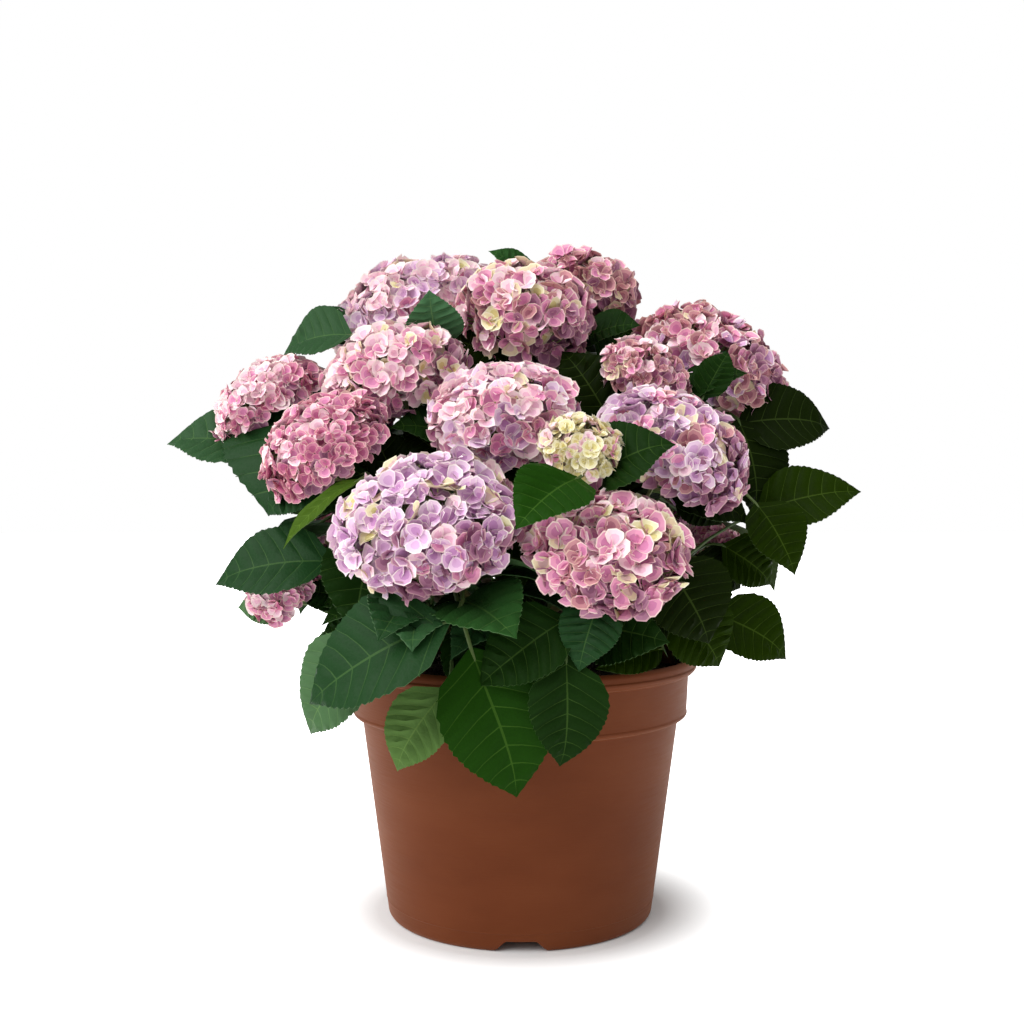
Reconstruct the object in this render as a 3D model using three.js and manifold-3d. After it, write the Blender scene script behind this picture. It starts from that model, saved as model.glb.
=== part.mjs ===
// Mophead hydrangea in a round plastic container pot.
// Units are millimetres, +Z is up. The origin lies on the pot's axis at ground level,
// the front faces -Y and the right side faces +X.
// Bearings are degrees round the pot's axis: 0 at the front, 90 at the right, 180 at the back.
import * as THREE from 'three';
import { mergeVertices } from 'three/addons/utils/BufferGeometryUtils.js';
import { ConvexGeometry } from 'three/addons/geometries/ConvexGeometry.js';
import Module from 'manifold-3d';

const wasm = await Module();
wasm.setup();

// ---- pot ----
const lipRadius = 130;
const lipTop = 191;
const collarRadius = 124;
const collarBottom = 147;
const bodyTopRadius = 116.5;
const bodyBottomRadius = 99;
const footRadius = 97.6;
const wall = 3;
const floorUnderside = 8;
const floorTop = 11;
const roundSegments = 36;
const notchCount = 3;
const notchBottomWidth = 37;
const notchTopWidth = 21;
const notchHeight = 7.5;
const drainHoleCount = 6;
const drainHoleRadius = 6;
const drainHoleReach = 62;
// ---- soil and woody foot ----
const soilTop = 179;
const soilEdge = 176;
const gap = 0.3;
const footWidth = 21;
const footHeight = 19;
// ---- limbs ----
const caneRadius = 4.4;
const forkRadius = 3.4;
const stemRadius = 2.7;
const petioleRadius = 1.7;
const peduncleLength = 13;
const stemRows = 3;
// ---- blooms ----
const bloomRise = 0.4;
const bloomDrop = 0.27;
const bloomFocus = 215;
const bloomUpright = 0.3;
const knobsLeast = 9;
const knobsPerWidth = 0.24;
const knobSpread = 1.03;
// ---- leaves ----
const ribShare = 0.0135;
const foldShare = 0.16;
const bowShare = 0.1;
const clearance = 0.9;
const rootDrop = 16;
const rootScatter = 1.4;

// Each cane with its fork: bearing, reach and height of the fork, and the low spur's bearing,
// reach and height (no spur where the reach is 0).
const canes = {
  front_left: { fork: [-22, 72, 224], spur: [-24, 128, 216] },
  front_right: { fork: [14, 70, 221], spur: [12, 128, 214] },
  right_front: { fork: [50, 60, 247], spur: [62, 126, 226] },
  right_back: { fork: [103, 68, 250], spur: [98, 130, 228] },
  back_right: { fork: [142, 72, 242], spur: [150, 130, 216] },
  back: { fork: [177, 66, 236], spur: [183, 128, 212] },
  back_left: { fork: [-156, 70, 244], spur: [-160, 126, 216] },
  left_back: { fork: [-126, 76, 228], spur: [-118, 128, 218] },
  left: { fork: [-92, 72, 240], spur: [-84, 130, 216] },
  left_front: { fork: [-57, 60, 246], spur: [-52, 124, 226] },
  middle: { fork: [-20, 12, 268], spur: [0, 0, 0] },
};

// Each bloom: its cane, the bearing, reach and height of its centre, and its width.
const blooms = [
  ['front_left', -20, 170, 292, 114],
  ['front_right', 18, 173, 272, 101],
  ['front_right', 14, 154, 343, 50],
  ['right_front', 51, 134, 339, 103],
  ['right_front', 75, 94, 399, 65],
  ['right_back', 110, 157, 411, 115],
  ['right_back', 102, 150, 269, 53],
  ['back_right', 149, 117, 471, 92],
  ['back_right', 146, 184, 300, 100],
  ['back', 180, 150, 385, 104],
  ['back', 176, 184, 245, 60],
  ['back_left', -138, 127, 452, 130],
  ['back_left', -158, 183, 290, 100],
  ['left_back', -128, 192, 350, 98],
  ['left_back', -118, 182, 262, 66],
  ['left', -96, 185, 380, 84],
  ['left', -66, 184, 236, 49],
  ['left_front', -75, 95, 397, 96],
  ['left_front', -54, 163, 341, 87],
  ['middle', -7, 86, 361, 99],
  ['middle', 161, 16, 441, 109],
];

// Leaves that shape the crown's outline. Each has its cane, the bearing, reach and height of its
// tip, its length and width, the heading and droop of its blade, and its roll, in mm and degrees.
const outerLeaves = [
  ['front_left', -1, 208, 228, 76, 60, 30, 10, -20],
  ['front_left', -22, 225, 228, 62, 40, -10, 10, 15],
  ['front_left', -17, 221, 223, 62, 44, 0, 5, 0],
  ['front_left', -38, 217, 181, 103, 78, -73, 17, 50],
  ['front_left', -44, 195, 158, 92, 66, -90, 41, 55],
  ['front_left', -28, 170, 135, 80, 54, -69, 67, 60],
  ['front_left', -1, 156, 119, 96, 74, 46, 74, -35],
  ['front_right', 10, 158, 138, 84, 58, -13, 69, 0],
  ['front_right', -9, 178, 194, 77, 66, -73, 24, 55],
  ['front_right', 10, 191, 204, 66, 48, -22, 20, 20],
  ['left', -82, 253, 347, 108, 64, -96, 18, 35],
  ['left', -60, 197, 301, 108, 74, -15, 20, 35],
  ['left', -64, 228, 251, 100, 72, -100, 5, 30],
  ['left_front', -58, 200, 297, 74, 50, -85, -22, 45],
  ['left_front', -46, 180, 228, 78, 56, -57, 0, 10],
  ['left_front', -42, 222, 278, 76, 46, -72, 42, 0],
  ['front_right', -1, 213, 292, 62, 48, -45, 28, 30],
  ['front_right', 29, 194, 349, 64, 50, 102, -25, -40],
  ['right_front', 82, 165, 397, 57, 40, 76, -21, -40],
  ['right_front', 87, 150, 414, 52, 34, 53, -54, -80],
  ['right_back', 95, 236, 358, 85, 60, 90, -20, -35],
  ['right_front', 85, 248, 314, 92, 60, 88, -8, -35],
  ['right_front', 74, 201, 254, 80, 52, 36, 80, -25],
  ['right_back', 92, 190, 244, 62, 44, 94, 26, -45],
  ['right_front', 67, 199, 198, 90, 62, 69, 30, -50],
  ['front_right', 40, 185, 214, 98, 72, 46, 51, -40],
  ['front_right', 47, 177, 198, 92, 66, 67, 41, -40],
  ['front_right', 21, 140, 200, 66, 40, -51, 6, 25],
  ['left', -93, 177, 416, 76, 54, -79, 14, 35],
  ['left_back', -112, 167, 457, 50, 34, -114, -62, 60],
  ['left_front', -61, 73, 455, 62, 46, 214, -64, 0],
  ['middle', 105, 94, 436, 49, 40, 63, -13, -45],
  ['back_right', 132, 137, 446, 50, 34, 98, -40, -50],
  ['right_back', 85, 177, 286, 82, 52, 40, 22, -25],
  ['left', -74, 205, 227, 60, 44, -67, 14, -40],
  ['middle', -51, 114, 357, 66, 46, -57, -14, 45],
  ['right_front', 76, 169, 289, 60, 44, 83, 19, -45],
  ['front_right', 31, 178, 218, 64, 50, 46, 4, -70],
  ['back_right', 138, 220, 214, 98, 70, 138, 34, 0],
  ['back', 170, 204, 178, 104, 72, 172, 80, 0],
  ['back', -172, 196, 146, 96, 66, -176, 66, 0],
  ['back_left', -155, 212, 186, 90, 72, -150, 50, 0],
  ['left_back', -125, 226, 208, 100, 70, -110, 54, -30],
  ['right_back', 112, 222, 230, 96, 66, 112, 36, 0],
  ['left_back', -106, 232, 290, 96, 66, -106, 20, 0],
  ['back_right', 128, 226, 286, 94, 66, 128, 30, -20],
  ['back', 170, 205, 320, 85, 62, 160, 12, 10],
  ['back_left', -170, 206, 330, 92, 62, -172, 6, -10],
  ['left_back', -118, 224, 400, 84, 58, -116, -8, 0],
  ['back_left', -150, 196, 400, 84, 56, -150, -10, 0],
  ['back_right', 165, 196, 430, 80, 54, 177, -14, 0],
  ['right_back', 128, 214, 400, 84, 58, 90, -18, 0],
];

// Leaf pairs by rule: the place along a stem, the share of the full length, the petiole.
const pairsOnStem = [
  [0.86, 0.88, 22],
  [0.62, 1.0, 28],
  [0.38, 0.94, 30],
];
const ruleLeafLength = 100;
const ruleLeafAspect = 0.66;
const ruleTries = 7;
const ruleLeafLimit = 45;
const crownRoom = { reach: 216, middle: 300, rise: 190 };

// Open pockets at the crown's right edge: the x and z of each and its radius.
const openPockets = [
  [152, 282, 24],
  [192, 333, 22],
  [150, 232, 20],
  [140, 257, 18],
];

// A repeatable number from 0 to 1 for each whole number.
function seeded(k) {
  const s = Math.sin(k * 12.9898 + 4.137) * 43758.5453;
  return s - Math.floor(s);
}

function radians(degrees) {
  return (degrees * Math.PI) / 180;
}

function polar(bearing, reach, height) {
  const b = radians(bearing);
  return new THREE.Vector3(reach * Math.sin(b), -reach * Math.cos(b), height);
}

function toSolid(geometry) {
  const plain = geometry.index ? geometry.toNonIndexed() : geometry.clone();
  plain.deleteAttribute('normal');
  plain.deleteAttribute('uv');
  const merged = mergeVertices(plain, 1e-3);
  const solid = new wasm.Manifold(
    new wasm.Mesh({
      numProp: 3,
      vertProperties: merged.attributes.position.array,
      triVerts: new Uint32Array(merged.index.array),
    }),
  );
  if (solid.volume() < 0) throw new Error('a shape faces inwards');
  return solid;
}

function toGeometry(solid) {
  const mesh = solid.getMesh();
  const geometry = new THREE.BufferGeometry();
  geometry.setAttribute('position', new THREE.BufferAttribute(mesh.vertProperties, 3));
  geometry.setIndex(new THREE.BufferAttribute(mesh.triVerts, 1));
  geometry.computeVertexNormals();
  return geometry;
}

// The largest body of a solid, with any hollow that the joining sealed filled.
function largestBody(solid) {
  const bodies = solid.decompose().filter((body) => body.volume() > 0);
  bodies.sort((a, b) => b.volume() - a.volume());
  return bodies[0];
}

// True if a solid stays one body, with two faces on every edge, when close vertices are merged.
function isPlain(solid) {
  const merged = toSolid(toGeometry(solid));
  if (merged.decompose().length !== 1) return false;
  const { triVerts } = merged.getMesh();
  const points = merged.getMesh().vertProperties;
  const label = (i) => [0, 1, 2].map((k) => Math.round(points[3 * i + k] * 1000)).join(' ');
  const labels = Array.from({ length: points.length / 3 }, (_, i) => label(i));
  const faces = new Map();
  for (let i = 0; i < triVerts.length; i += 3) {
    for (const [a, b] of [[0, 1], [1, 2], [2, 0]]) {
      const edge = [labels[triVerts[i + a]], labels[triVerts[i + b]]].sort().join('|');
      faces.set(edge, (faces.get(edge) || 0) + 1);
    }
  }
  return [...faces.values()].every((n) => n === 2);
}

function joined(solids) {
  return solids.reduce((whole, piece) => whole.add(piece));
}

// Moves every vertex of a geometry by a rule.
function reshape(geometry, rule) {
  const position = geometry.attributes.position;
  const v = new THREE.Vector3();
  for (let i = 0; i < position.count; i++) {
    v.fromBufferAttribute(position, i);
    rule(v);
    position.setXYZ(i, v.x, v.y, v.z);
  }
  return geometry;
}

// A limb that tapers along a curve: a cylinder whose rings are carried along it.
function limb(curve, startRadius, endRadius, sides, rows) {
  const frames = curve.computeFrenetFrames(rows, false);
  const shape = new THREE.CylinderGeometry(1, 1, 1, sides, rows);
  return reshape(shape, (v) => {
    const row = Math.round((v.y + 0.5) * rows);
    const radius = THREE.MathUtils.lerp(startRadius, endRadius, row / rows);
    const across = frames.binormals[row].clone().multiplyScalar(v.x * radius);
    const along = frames.normals[row].clone().multiplyScalar(v.z * radius);
    v.copy(curve.getPointAt(row / rows)).add(across).add(along);
  });
}

// The place at share t along a stem's straight pieces.
function placeOn(curve, t) {
  const row = Math.min(Math.floor(t * stemRows), stemRows - 1);
  const start = curve.getPointAt(row / stemRows);
  return start.lerp(curve.getPointAt((row + 1) / stemRows), t * stemRows - row);
}

// The direction a bloom faces: outward and up from the middle of the crown.
function bloomAxis(centre) {
  const outward = centre.clone().setZ(centre.z - bloomFocus).normalize();
  return outward.lerp(new THREE.Vector3(0, 0, 1), bloomUpright).normalize();
}

// A bloom: a domed head with one knob for each floret and a short peduncle below it.
function bloomSolid(centre, width, seed) {
  const count = Math.round(knobsLeast + knobsPerWidth * width);
  const points = [];
  for (let i = 0; i < count; i++) {
    const z = 1 - (2 * i + 1) / count;
    const around = i * 2.39996 + seed;
    const ring = Math.sqrt(1 - z * z);
    points.push(new THREE.Vector3(ring * Math.cos(around), ring * Math.sin(around), z));
  }
  const hull = new ConvexGeometry(points).attributes.position;
  const faces = [];
  const shaped = (p, share) => {
    const level = p.clone().normalize().multiplyScalar(share * width * knobSpread);
    const upright = level.z > 0 ? bloomRise : bloomDrop;
    return new THREE.Vector3(level.x / 2, level.y / 2, level.z * upright);
  };
  for (let i = 0; i < hull.count; i += 3) {
    const [a, b, c] = [0, 1, 2].map((k) => new THREE.Vector3().fromBufferAttribute(hull, i + k));
    const [ab, bc, ca] = [a.clone().add(b), b.clone().add(c), c.clone().add(a)];
    const corners = [a, b, c].map((p) => shaped(p, 1));
    const middles = [ab, bc, ca].map((p) => shaped(p, 0.91));
    faces.push(corners[0], middles[0], middles[2]);
    faces.push(middles[0], corners[1], middles[1]);
    faces.push(middles[2], middles[1], corners[2]);
    faces.push(middles[0], middles[1], middles[2]);
  }
  const head = new THREE.BufferGeometry().setFromPoints(faces);
  const axis = bloomAxis(centre);
  head.applyQuaternion(new THREE.Quaternion().setFromUnitVectors(new THREE.Vector3(0, 0, 1), axis));
  head.translate(centre.x, centre.y, centre.z);
  const foot = bloomFoot(centre, width);
  const stalk = new THREE.LineCurve3(foot, centre.clone().addScaledVector(axis, -0.1 * width));
  return toSolid(head).add(toSolid(limb(stalk, stemRadius, stemRadius + 1.2, 6, 1)));
}

function bloomFoot(centre, width) {
  return centre.clone().addScaledVector(bloomAxis(centre), -(bloomDrop * width + peduncleLength));
}

// A leaf's frame from its tip, heading, droop and roll.
function leafFrame(leaf) {
  const h = radians(leaf.heading);
  const d = radians(leaf.droop);
  const r = radians(leaf.roll);
  const along = new THREE.Vector3(Math.sin(h) * Math.cos(d), -Math.cos(h) * Math.cos(d), -Math.sin(d));
  const level = new THREE.Vector3(-Math.cos(h), -Math.sin(h), 0);
  const upright = level.clone().cross(along);
  const side = level.clone().multiplyScalar(Math.cos(r)).addScaledVector(upright, Math.sin(r));
  const face = upright.clone().multiplyScalar(Math.cos(r)).addScaledVector(level, -Math.sin(r));
  const base = leaf.tip.clone().addScaledVector(along, -leaf.length);
  return { along, side, face, base };
}

// Places along the blade and the share of its half width there.
const bladeRings = [
  [0, 0.05],
  [0.2, 0.84],
  [0.47, 1.0],
  [0.78, 0.58],
  [1, 0],
];

// Two directions square to a line, the first as near to a wanted one as it can be.
function squareTo(line, wanted) {
  const first = wanted.clone().addScaledVector(line, -wanted.dot(line)).normalize();
  return { side: first, face: first.clone().cross(line) };
}

// A leaf on its petiole: a four-sided cone whose rings follow the petiole, the blade and the tip.
function leafGeometry(leaf, fat, withPetiole) {
  const { along, side, face, base } = leafFrame(leaf);
  const rings = bladeRings.map(([s, w]) => {
    const centre = base.clone().addScaledVector(along, s * leaf.length);
    centre.addScaledVector(face, bowShare * leaf.length * 4 * s * (1 - s));
    const half = Math.max(w * (leaf.width / 2 + fat), petioleRadius + fat);
    const thick = (ribShare * leaf.length) / 2 + fat;
    const raised = w > 0.3 ? half * 2 * foldShare : 0;
    return { centre, half, thick, raised, side, face };
  });
  rings[0].thick = petioleRadius * 0.8 + fat;
  if (withPetiole) {
    const line = base.clone().sub(leaf.root).normalize();
    const bend = line.clone().add(along).normalize();
    Object.assign(rings[0], squareTo(bend, side));
    const half = petioleRadius + fat;
    rings.unshift({ centre: leaf.root, half, thick: half, raised: 0, ...squareTo(line, side) });
  }
  const rows = rings.length - 1;
  const shape = new THREE.ConeGeometry(1, 1, 4, rows);
  return reshape(shape, (v) => {
    const row = Math.round((v.y + 0.5) * rows);
    const ring = rings[row];
    const spread = 1 - row / rows;
    const x = spread > 1e-6 ? v.x / spread : 0;
    const z = spread > 1e-6 ? v.z / spread : 0;
    v.copy(ring.centre).addScaledVector(ring.side, x * ring.half);
    v.addScaledVector(ring.face, Math.abs(x) * ring.raised + z * ring.thick);
  });
}

// ---- pot ----
function pot() {
  const profile = [
    [0, floorUnderside],
    [86, floorUnderside],
    [88.5, 0],
    [95.6, 0],
    [footRadius, 2.4],
    [bodyBottomRadius, 13],
    [bodyTopRadius, collarBottom - 1.2],
    [collarRadius - 2.6, collarBottom],
    [collarRadius, collarBottom + 2.8],
    [collarRadius, 178.4],
    [127.4, 179.6],
    [lipRadius, 183.6],
    [129.4, 188.6],
    [126.6, lipTop],
    [124.2, 189.6],
    [collarRadius - wall, 181],
    [collarRadius - wall, 153],
    [bodyTopRadius - wall, 148],
    [93, floorTop],
    [0, floorTop],
  ];
  const turned = new THREE.LatheGeometry(
    profile.map(([r, z]) => new THREE.Vector2(r, z)),
    roundSegments,
  );
  let solid = toSolid(turned.rotateX(Math.PI / 2));
  const outline = new THREE.Shape([
    new THREE.Vector2(-notchBottomWidth / 2, -1),
    new THREE.Vector2(notchBottomWidth / 2, -1),
    new THREE.Vector2(notchBottomWidth / 2 - 1, 0),
    new THREE.Vector2(notchTopWidth / 2, notchHeight),
    new THREE.Vector2(-notchTopWidth / 2, notchHeight),
    new THREE.Vector2(-notchBottomWidth / 2 + 1, 0),
  ]);
  for (let i = 0; i < notchCount; i++) {
    const cutter = new THREE.ExtrudeGeometry(outline, { depth: 40, bevelEnabled: false });
    cutter.rotateX(Math.PI / 2).translate(0, -75, 0);
    cutter.rotateZ((i * 2 * Math.PI) / notchCount);
    solid = solid.subtract(toSolid(cutter));
  }
  for (let i = 0; i < drainHoleCount; i++) {
    const drill = new THREE.CylinderGeometry(drainHoleRadius, drainHoleRadius, 8, 10);
    drill.rotateX(Math.PI / 2);
    const bearing = (i + 0.5) * (360 / drainHoleCount);
    const place = polar(bearing, drainHoleReach, (floorUnderside + floorTop) / 2);
    solid = solid.subtract(toSolid(drill.translate(place.x, place.y, place.z)));
  }
  return solid;
}

function soil() {
  const inset = 0.4;
  const profile = [
    [0, floorTop + gap],
    [93 - inset, floorTop + gap],
    [bodyTopRadius - wall - inset, 148 + gap],
    [collarRadius - wall - inset, 153 + gap],
    [collarRadius - wall - inset, soilEdge],
    [70, soilEdge + 1.8],
    [30, soilTop],
    [0, soilTop],
  ];
  const turned = new THREE.LatheGeometry(
    profile.map(([r, z]) => new THREE.Vector2(r, z)),
    roundSegments,
  );
  return toSolid(turned.rotateX(Math.PI / 2));
}

// The short woody foot that the canes spring from; extra widens it all round.
const footCentre = new THREE.Vector3(0, 0, soilTop + gap);
function foot(extra) {
  const profile = [
    [0, 0],
    [footWidth + extra, 0],
    [footWidth - 1.5 + extra, footHeight * 0.45],
    [footWidth - 7 + extra, footHeight * 0.85 + extra * 0.6],
    [footWidth - 13 + extra, footHeight + extra],
    [0, footHeight + extra],
  ];
  const turned = new THREE.LatheGeometry(
    profile.map(([r, z]) => new THREE.Vector2(r, z)),
    14,
  );
  return toSolid(turned.rotateX(Math.PI / 2).translate(0, 0, footCentre.z));
}

// ---- limbs ----
function caneCurve(name) {
  const end = polar(...canes[name].fork);
  const level = new THREE.Vector3(end.x, end.y, 0);
  const out = level.length() > 20 ? level.normalize() : new THREE.Vector3();
  const start = footCentre.clone().addScaledVector(out, 15).add(new THREE.Vector3(0, 0, 7));
  const bend = start.clone().lerp(end, 0.5).add(new THREE.Vector3(0, 0, 5));
  return new THREE.QuadraticBezierCurve3(start, bend, end);
}

// The stems of one leafy mass: the first piece runs on from the cane, then one stem to each
// bloom's foot and the low spur.
function massCurves(name) {
  const cane = caneCurve(name);
  const end = cane.getPointAt(1);
  const ahead = cane.getTangentAt(1);
  const start = end.clone().addScaledVector(ahead, gap);
  const knot = start.clone().addScaledVector(ahead, 9);
  const curves = [];
  for (const [owner, bearing, reach, height, width] of blooms) {
    if (owner !== name) continue;
    const centre = polar(bearing, reach, height);
    const axis = bloomAxis(centre);
    const top = bloomFoot(centre, width).addScaledVector(axis, -gap);
    const span = knot.distanceTo(top);
    const leave = knot.clone().addScaledVector(ahead, span * 0.25);
    leave.z += span * 0.1;
    const arrive = top.clone().addScaledVector(axis, -span * 0.35);
    curves.push(new THREE.CubicBezierCurve3(knot, leave, arrive, top));
  }
  const [bearing, reach, height] = canes[name].spur;
  if (reach) {
    const tip = polar(bearing, reach, height);
    const middle = knot.clone().lerp(tip, 0.5).add(new THREE.Vector3(0, 0, 6));
    curves.push(new THREE.QuadraticBezierCurve3(knot, middle, tip));
  }
  return { start, knot, curves };
}

// ---- leaves ----
function signatureLeaf(row) {
  const [name, bearing, reach, height, length, width, heading, droop, roll] = row;
  return { name, tip: polar(bearing, reach, height), length, width, heading, droop, roll };
}

// The place on the stems that a leaf springs from: near its base, a little lower and behind it.
function rootOn(curves, leaf) {
  const { base, along } = leafFrame(leaf);
  const wanted = base.clone().setZ(base.z - rootDrop);
  let best = null;
  let least = Infinity;
  for (const curve of curves) {
    for (let i = 5; i <= 46; i++) {
      const p = placeOn(curve, i / 48);
      const turn = base.clone().sub(p).normalize().dot(along);
      const cost = p.distanceTo(wanted) * (2 - turn);
      if (cost < least) {
        least = cost;
        best = p;
      }
    }
  }
  return best;
}

// One try of the rule for a leaf on a stem: the pair's place, its half and the number of the try.
function proposedLeaf(curve, pair, p, half, k, attempt) {
  const [t, share, petiole] = pair;
  const root = placeOn(curve, t);
  const ahead = curve.getTangentAt(t);
  const level = new THREE.Vector3(0, 0, 1).cross(ahead).normalize();
  const rise = ahead.clone().cross(level);
  const turn = radians(90 * p + 180 * half + 40 * seeded(k) + 25 + 47 * attempt);
  const outward = level.multiplyScalar(Math.cos(turn)).addScaledVector(rise, Math.sin(turn));
  const lean = outward.multiplyScalar(0.85).addScaledVector(ahead, 0.5).normalize();
  const base = root.clone().addScaledVector(lean, petiole);
  const slope = THREE.MathUtils.radToDeg(-Math.asin(lean.z));
  const length = ruleLeafLength * share * (0.85 + 0.27 * seeded(k + 2) - 0.05 * attempt);
  const leaf = {
    root,
    length,
    width: length * ruleLeafAspect,
    heading: THREE.MathUtils.radToDeg(Math.atan2(lean.x, -lean.y)),
    droop: THREE.MathUtils.clamp(slope + 30, -25, 62) + 16 * seeded(k + 1) - 8,
    roll: 30 * seeded(k + 4) - 15,
    tip: base.clone(),
  };
  leaf.tip.addScaledVector(leafFrame(leaf).along, length);
  return leaf;
}

// True if a leaf keeps inside the crown's room and out of its open pockets.
function isInRoom(leaf) {
  const { x, y, z } = leaf.tip;
  const across = Math.hypot(x, y) / crownRoom.reach;
  if (across ** 2 + ((z - crownRoom.middle) / crownRoom.rise) ** 2 > 1) return false;
  const middle = leafFrame(leaf).base.lerp(leaf.tip, 0.5);
  const inPocket = (p) => openPockets.some(([px, pz, r]) => Math.hypot(p.x - px, p.z - pz) < r + 6);
  return !inPocket(leaf.tip) && !inPocket(middle);
}

const names = Object.keys(canes);
const solids = new Map();
solids.set('pot', pot());
solids.set('potting_soil', soil());
solids.set('woody_foot', foot(0));
const footRoom = foot(gap + 0.1);
for (const name of names) {
  const cane = toSolid(limb(caneCurve(name), caneRadius, forkRadius, 8, 4)).subtract(footRoom);
  solids.set('cane_' + name, largestBody(cane));
}
const bloomNumber = {};
blooms.forEach(([name, bearing, reach, height, width], i) => {
  bloomNumber[name] = (bloomNumber[name] || 0) + 1;
  solids.set('bloom_' + name + '_' + bloomNumber[name], bloomSolid(polar(bearing, reach, height), width, i));
});

const masses = names.map((name, i) => {
  const { start, knot, curves } = massCurves(name);
  const pieces = [toSolid(limb(new THREE.LineCurve3(start, knot), forkRadius, forkRadius, 6, 1))];
  curves.forEach((curve) => pieces.push(toSolid(limb(curve, forkRadius - 0.3, stemRadius, 5, stemRows))));
  return { name, seed: i + 1, curves, stems: joined(pieces), kept: [], leaves: [], blades: [] };
});

const boxes = new Map();
function boxOf(solid) {
  if (!boxes.has(solid)) {
    const { min, max } = solid.boundingBox();
    boxes.set(solid, new THREE.Box3(new THREE.Vector3(...min), new THREE.Vector3(...max)));
  }
  return boxes.get(solid);
}

function touches(a, b) {
  return boxOf(a).intersectsBox(boxOf(b)) && a.intersect(b).volume() > 1e-4;
}

// What a leaf would touch: a solid, another mass, or its own mass's stems and blades.
function blockerOf(leaf, mass) {
  const whole = toSolid(leafGeometry(leaf, clearance, true));
  const blade = toSolid(leafGeometry(leaf, clearance * 0.6, false));
  for (const [name, solid] of solids) if (touches(whole, solid)) return name;
  if (touches(blade, mass.stems)) return 'own stems';
  for (const other of masses) {
    if (other !== mass && touches(whole, other.stems)) return other.name + ' stems';
    const [taken, tried] = other === mass ? [other.blades, blade] : [other.leaves, whole];
    for (const solid of taken) if (touches(tried, solid)) return other.name + ' leaf';
  }
  return '';
}

function keep(leaf, mass) {
  mass.kept.push(leaf);
  mass.leaves.push(toSolid(leafGeometry(leaf, 0, true)));
  mass.blades.push(toSolid(leafGeometry(leaf, 0, false)));
}

outerLeaves.forEach((row) => {
  const mass = masses.find((m) => m.name === row[0]);
  const leaf = signatureLeaf(row);
  leaf.root = rootOn(mass.curves, leaf);
  if (!blockerOf(leaf, mass)) keep(leaf, mass);
});
let ruled = 0;
pairsOnStem.forEach((pair, p) => {
  for (const mass of masses) {
    mass.curves.forEach((curve, c) => {
      for (const half of [0, 1]) {
        const k = mass.seed * 97 + c * 31 + p * 7 + half * 3;
        for (let attempt = 0; attempt < ruleTries && ruled < ruleLeafLimit; attempt++) {
          const leaf = proposedLeaf(curve, pair, p, half, k, attempt);
          if (!isInRoom(leaf) || blockerOf(leaf, mass)) continue;
          keep(leaf, mass);
          ruled++;
          break;
        }
      }
    });
  }
});

// The mass as one body. Its petioles start a little off the stems' middle lines, and where two of
// them would meet along an edge, all of them start from slightly different places.
function massBody(mass) {
  for (let attempt = 0; attempt < 12; attempt++) {
    const pieces = mass.kept.map((leaf, i) => {
      const k = attempt * 61 + i * 7;
      const off = new THREE.Vector3(seeded(k) - 0.5, seeded(k + 1) - 0.5, seeded(k + 2) - 0.5);
      const root = leaf.root.clone().addScaledVector(off, rootScatter);
      return toSolid(leafGeometry({ ...leaf, root }, 0, true));
    });
    const body = largestBody(joined([mass.stems, ...pieces]));
    if (isPlain(body)) return body;
  }
  throw new Error(mass.name + ' has no clean body');
}
for (const mass of masses) solids.set('leafy_mass_' + mass.name, massBody(mass));

const looks = {
  pot: [0x8c553c, 0.55],
  potting_soil: [0x2e211a, 0.95],
  woody_foot: [0x6b5a44, 0.9],
  cane: [0x6f6a45, 0.8],
  leafy: [0x2f5a30, 0.55],
  bloom: [0xc79bbf, 0.8],
};

const plant = new THREE.Group();
plant.name = 'hydrangea_in_pot';
for (const [name, solid] of solids) {
  const look = looks[name] || looks[name.split('_')[0]];
  const material = new THREE.MeshStandardMaterial({ color: look[0], roughness: look[1], metalness: 0 });
  const mesh = new THREE.Mesh(toGeometry(solid), material);
  mesh.name = name;
  plant.add(mesh);
}

export default plant;
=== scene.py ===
import bpy
import bmesh
import math
import numpy as np
from mathutils import Matrix, Vector, noise
from mathutils.bvhtree import BVHTree


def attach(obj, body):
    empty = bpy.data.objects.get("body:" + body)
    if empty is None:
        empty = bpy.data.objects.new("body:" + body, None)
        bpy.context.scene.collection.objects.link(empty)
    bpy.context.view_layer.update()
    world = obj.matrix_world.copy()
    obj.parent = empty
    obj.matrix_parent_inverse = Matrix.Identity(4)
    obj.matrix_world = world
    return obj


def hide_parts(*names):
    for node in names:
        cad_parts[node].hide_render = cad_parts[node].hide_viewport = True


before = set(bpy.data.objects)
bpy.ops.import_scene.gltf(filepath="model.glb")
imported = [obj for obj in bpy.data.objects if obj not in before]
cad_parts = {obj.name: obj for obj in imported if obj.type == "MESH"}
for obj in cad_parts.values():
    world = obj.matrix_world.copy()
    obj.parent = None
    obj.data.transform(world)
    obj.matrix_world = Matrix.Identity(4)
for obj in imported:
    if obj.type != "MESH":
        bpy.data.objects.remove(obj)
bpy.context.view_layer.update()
scene = bpy.context.scene

# The camera.
cameraSetup = {"place": (-0.006, -1.002, 0.325), "pitchDown": 0.03, "lens": 47.55, "sensor": 36.0}
cameraData = bpy.data.cameras.new("camera")
cameraData.lens = cameraSetup["lens"]
cameraData.sensor_width = cameraSetup["sensor"]
camera = bpy.data.objects.new("camera", cameraData)
camera.location = cameraSetup["place"]
camera.rotation_euler = (math.pi / 2 - cameraSetup["pitchDown"], 0, 0)
scene.collection.objects.link(camera)
scene.camera = camera
print("camera set")

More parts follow.
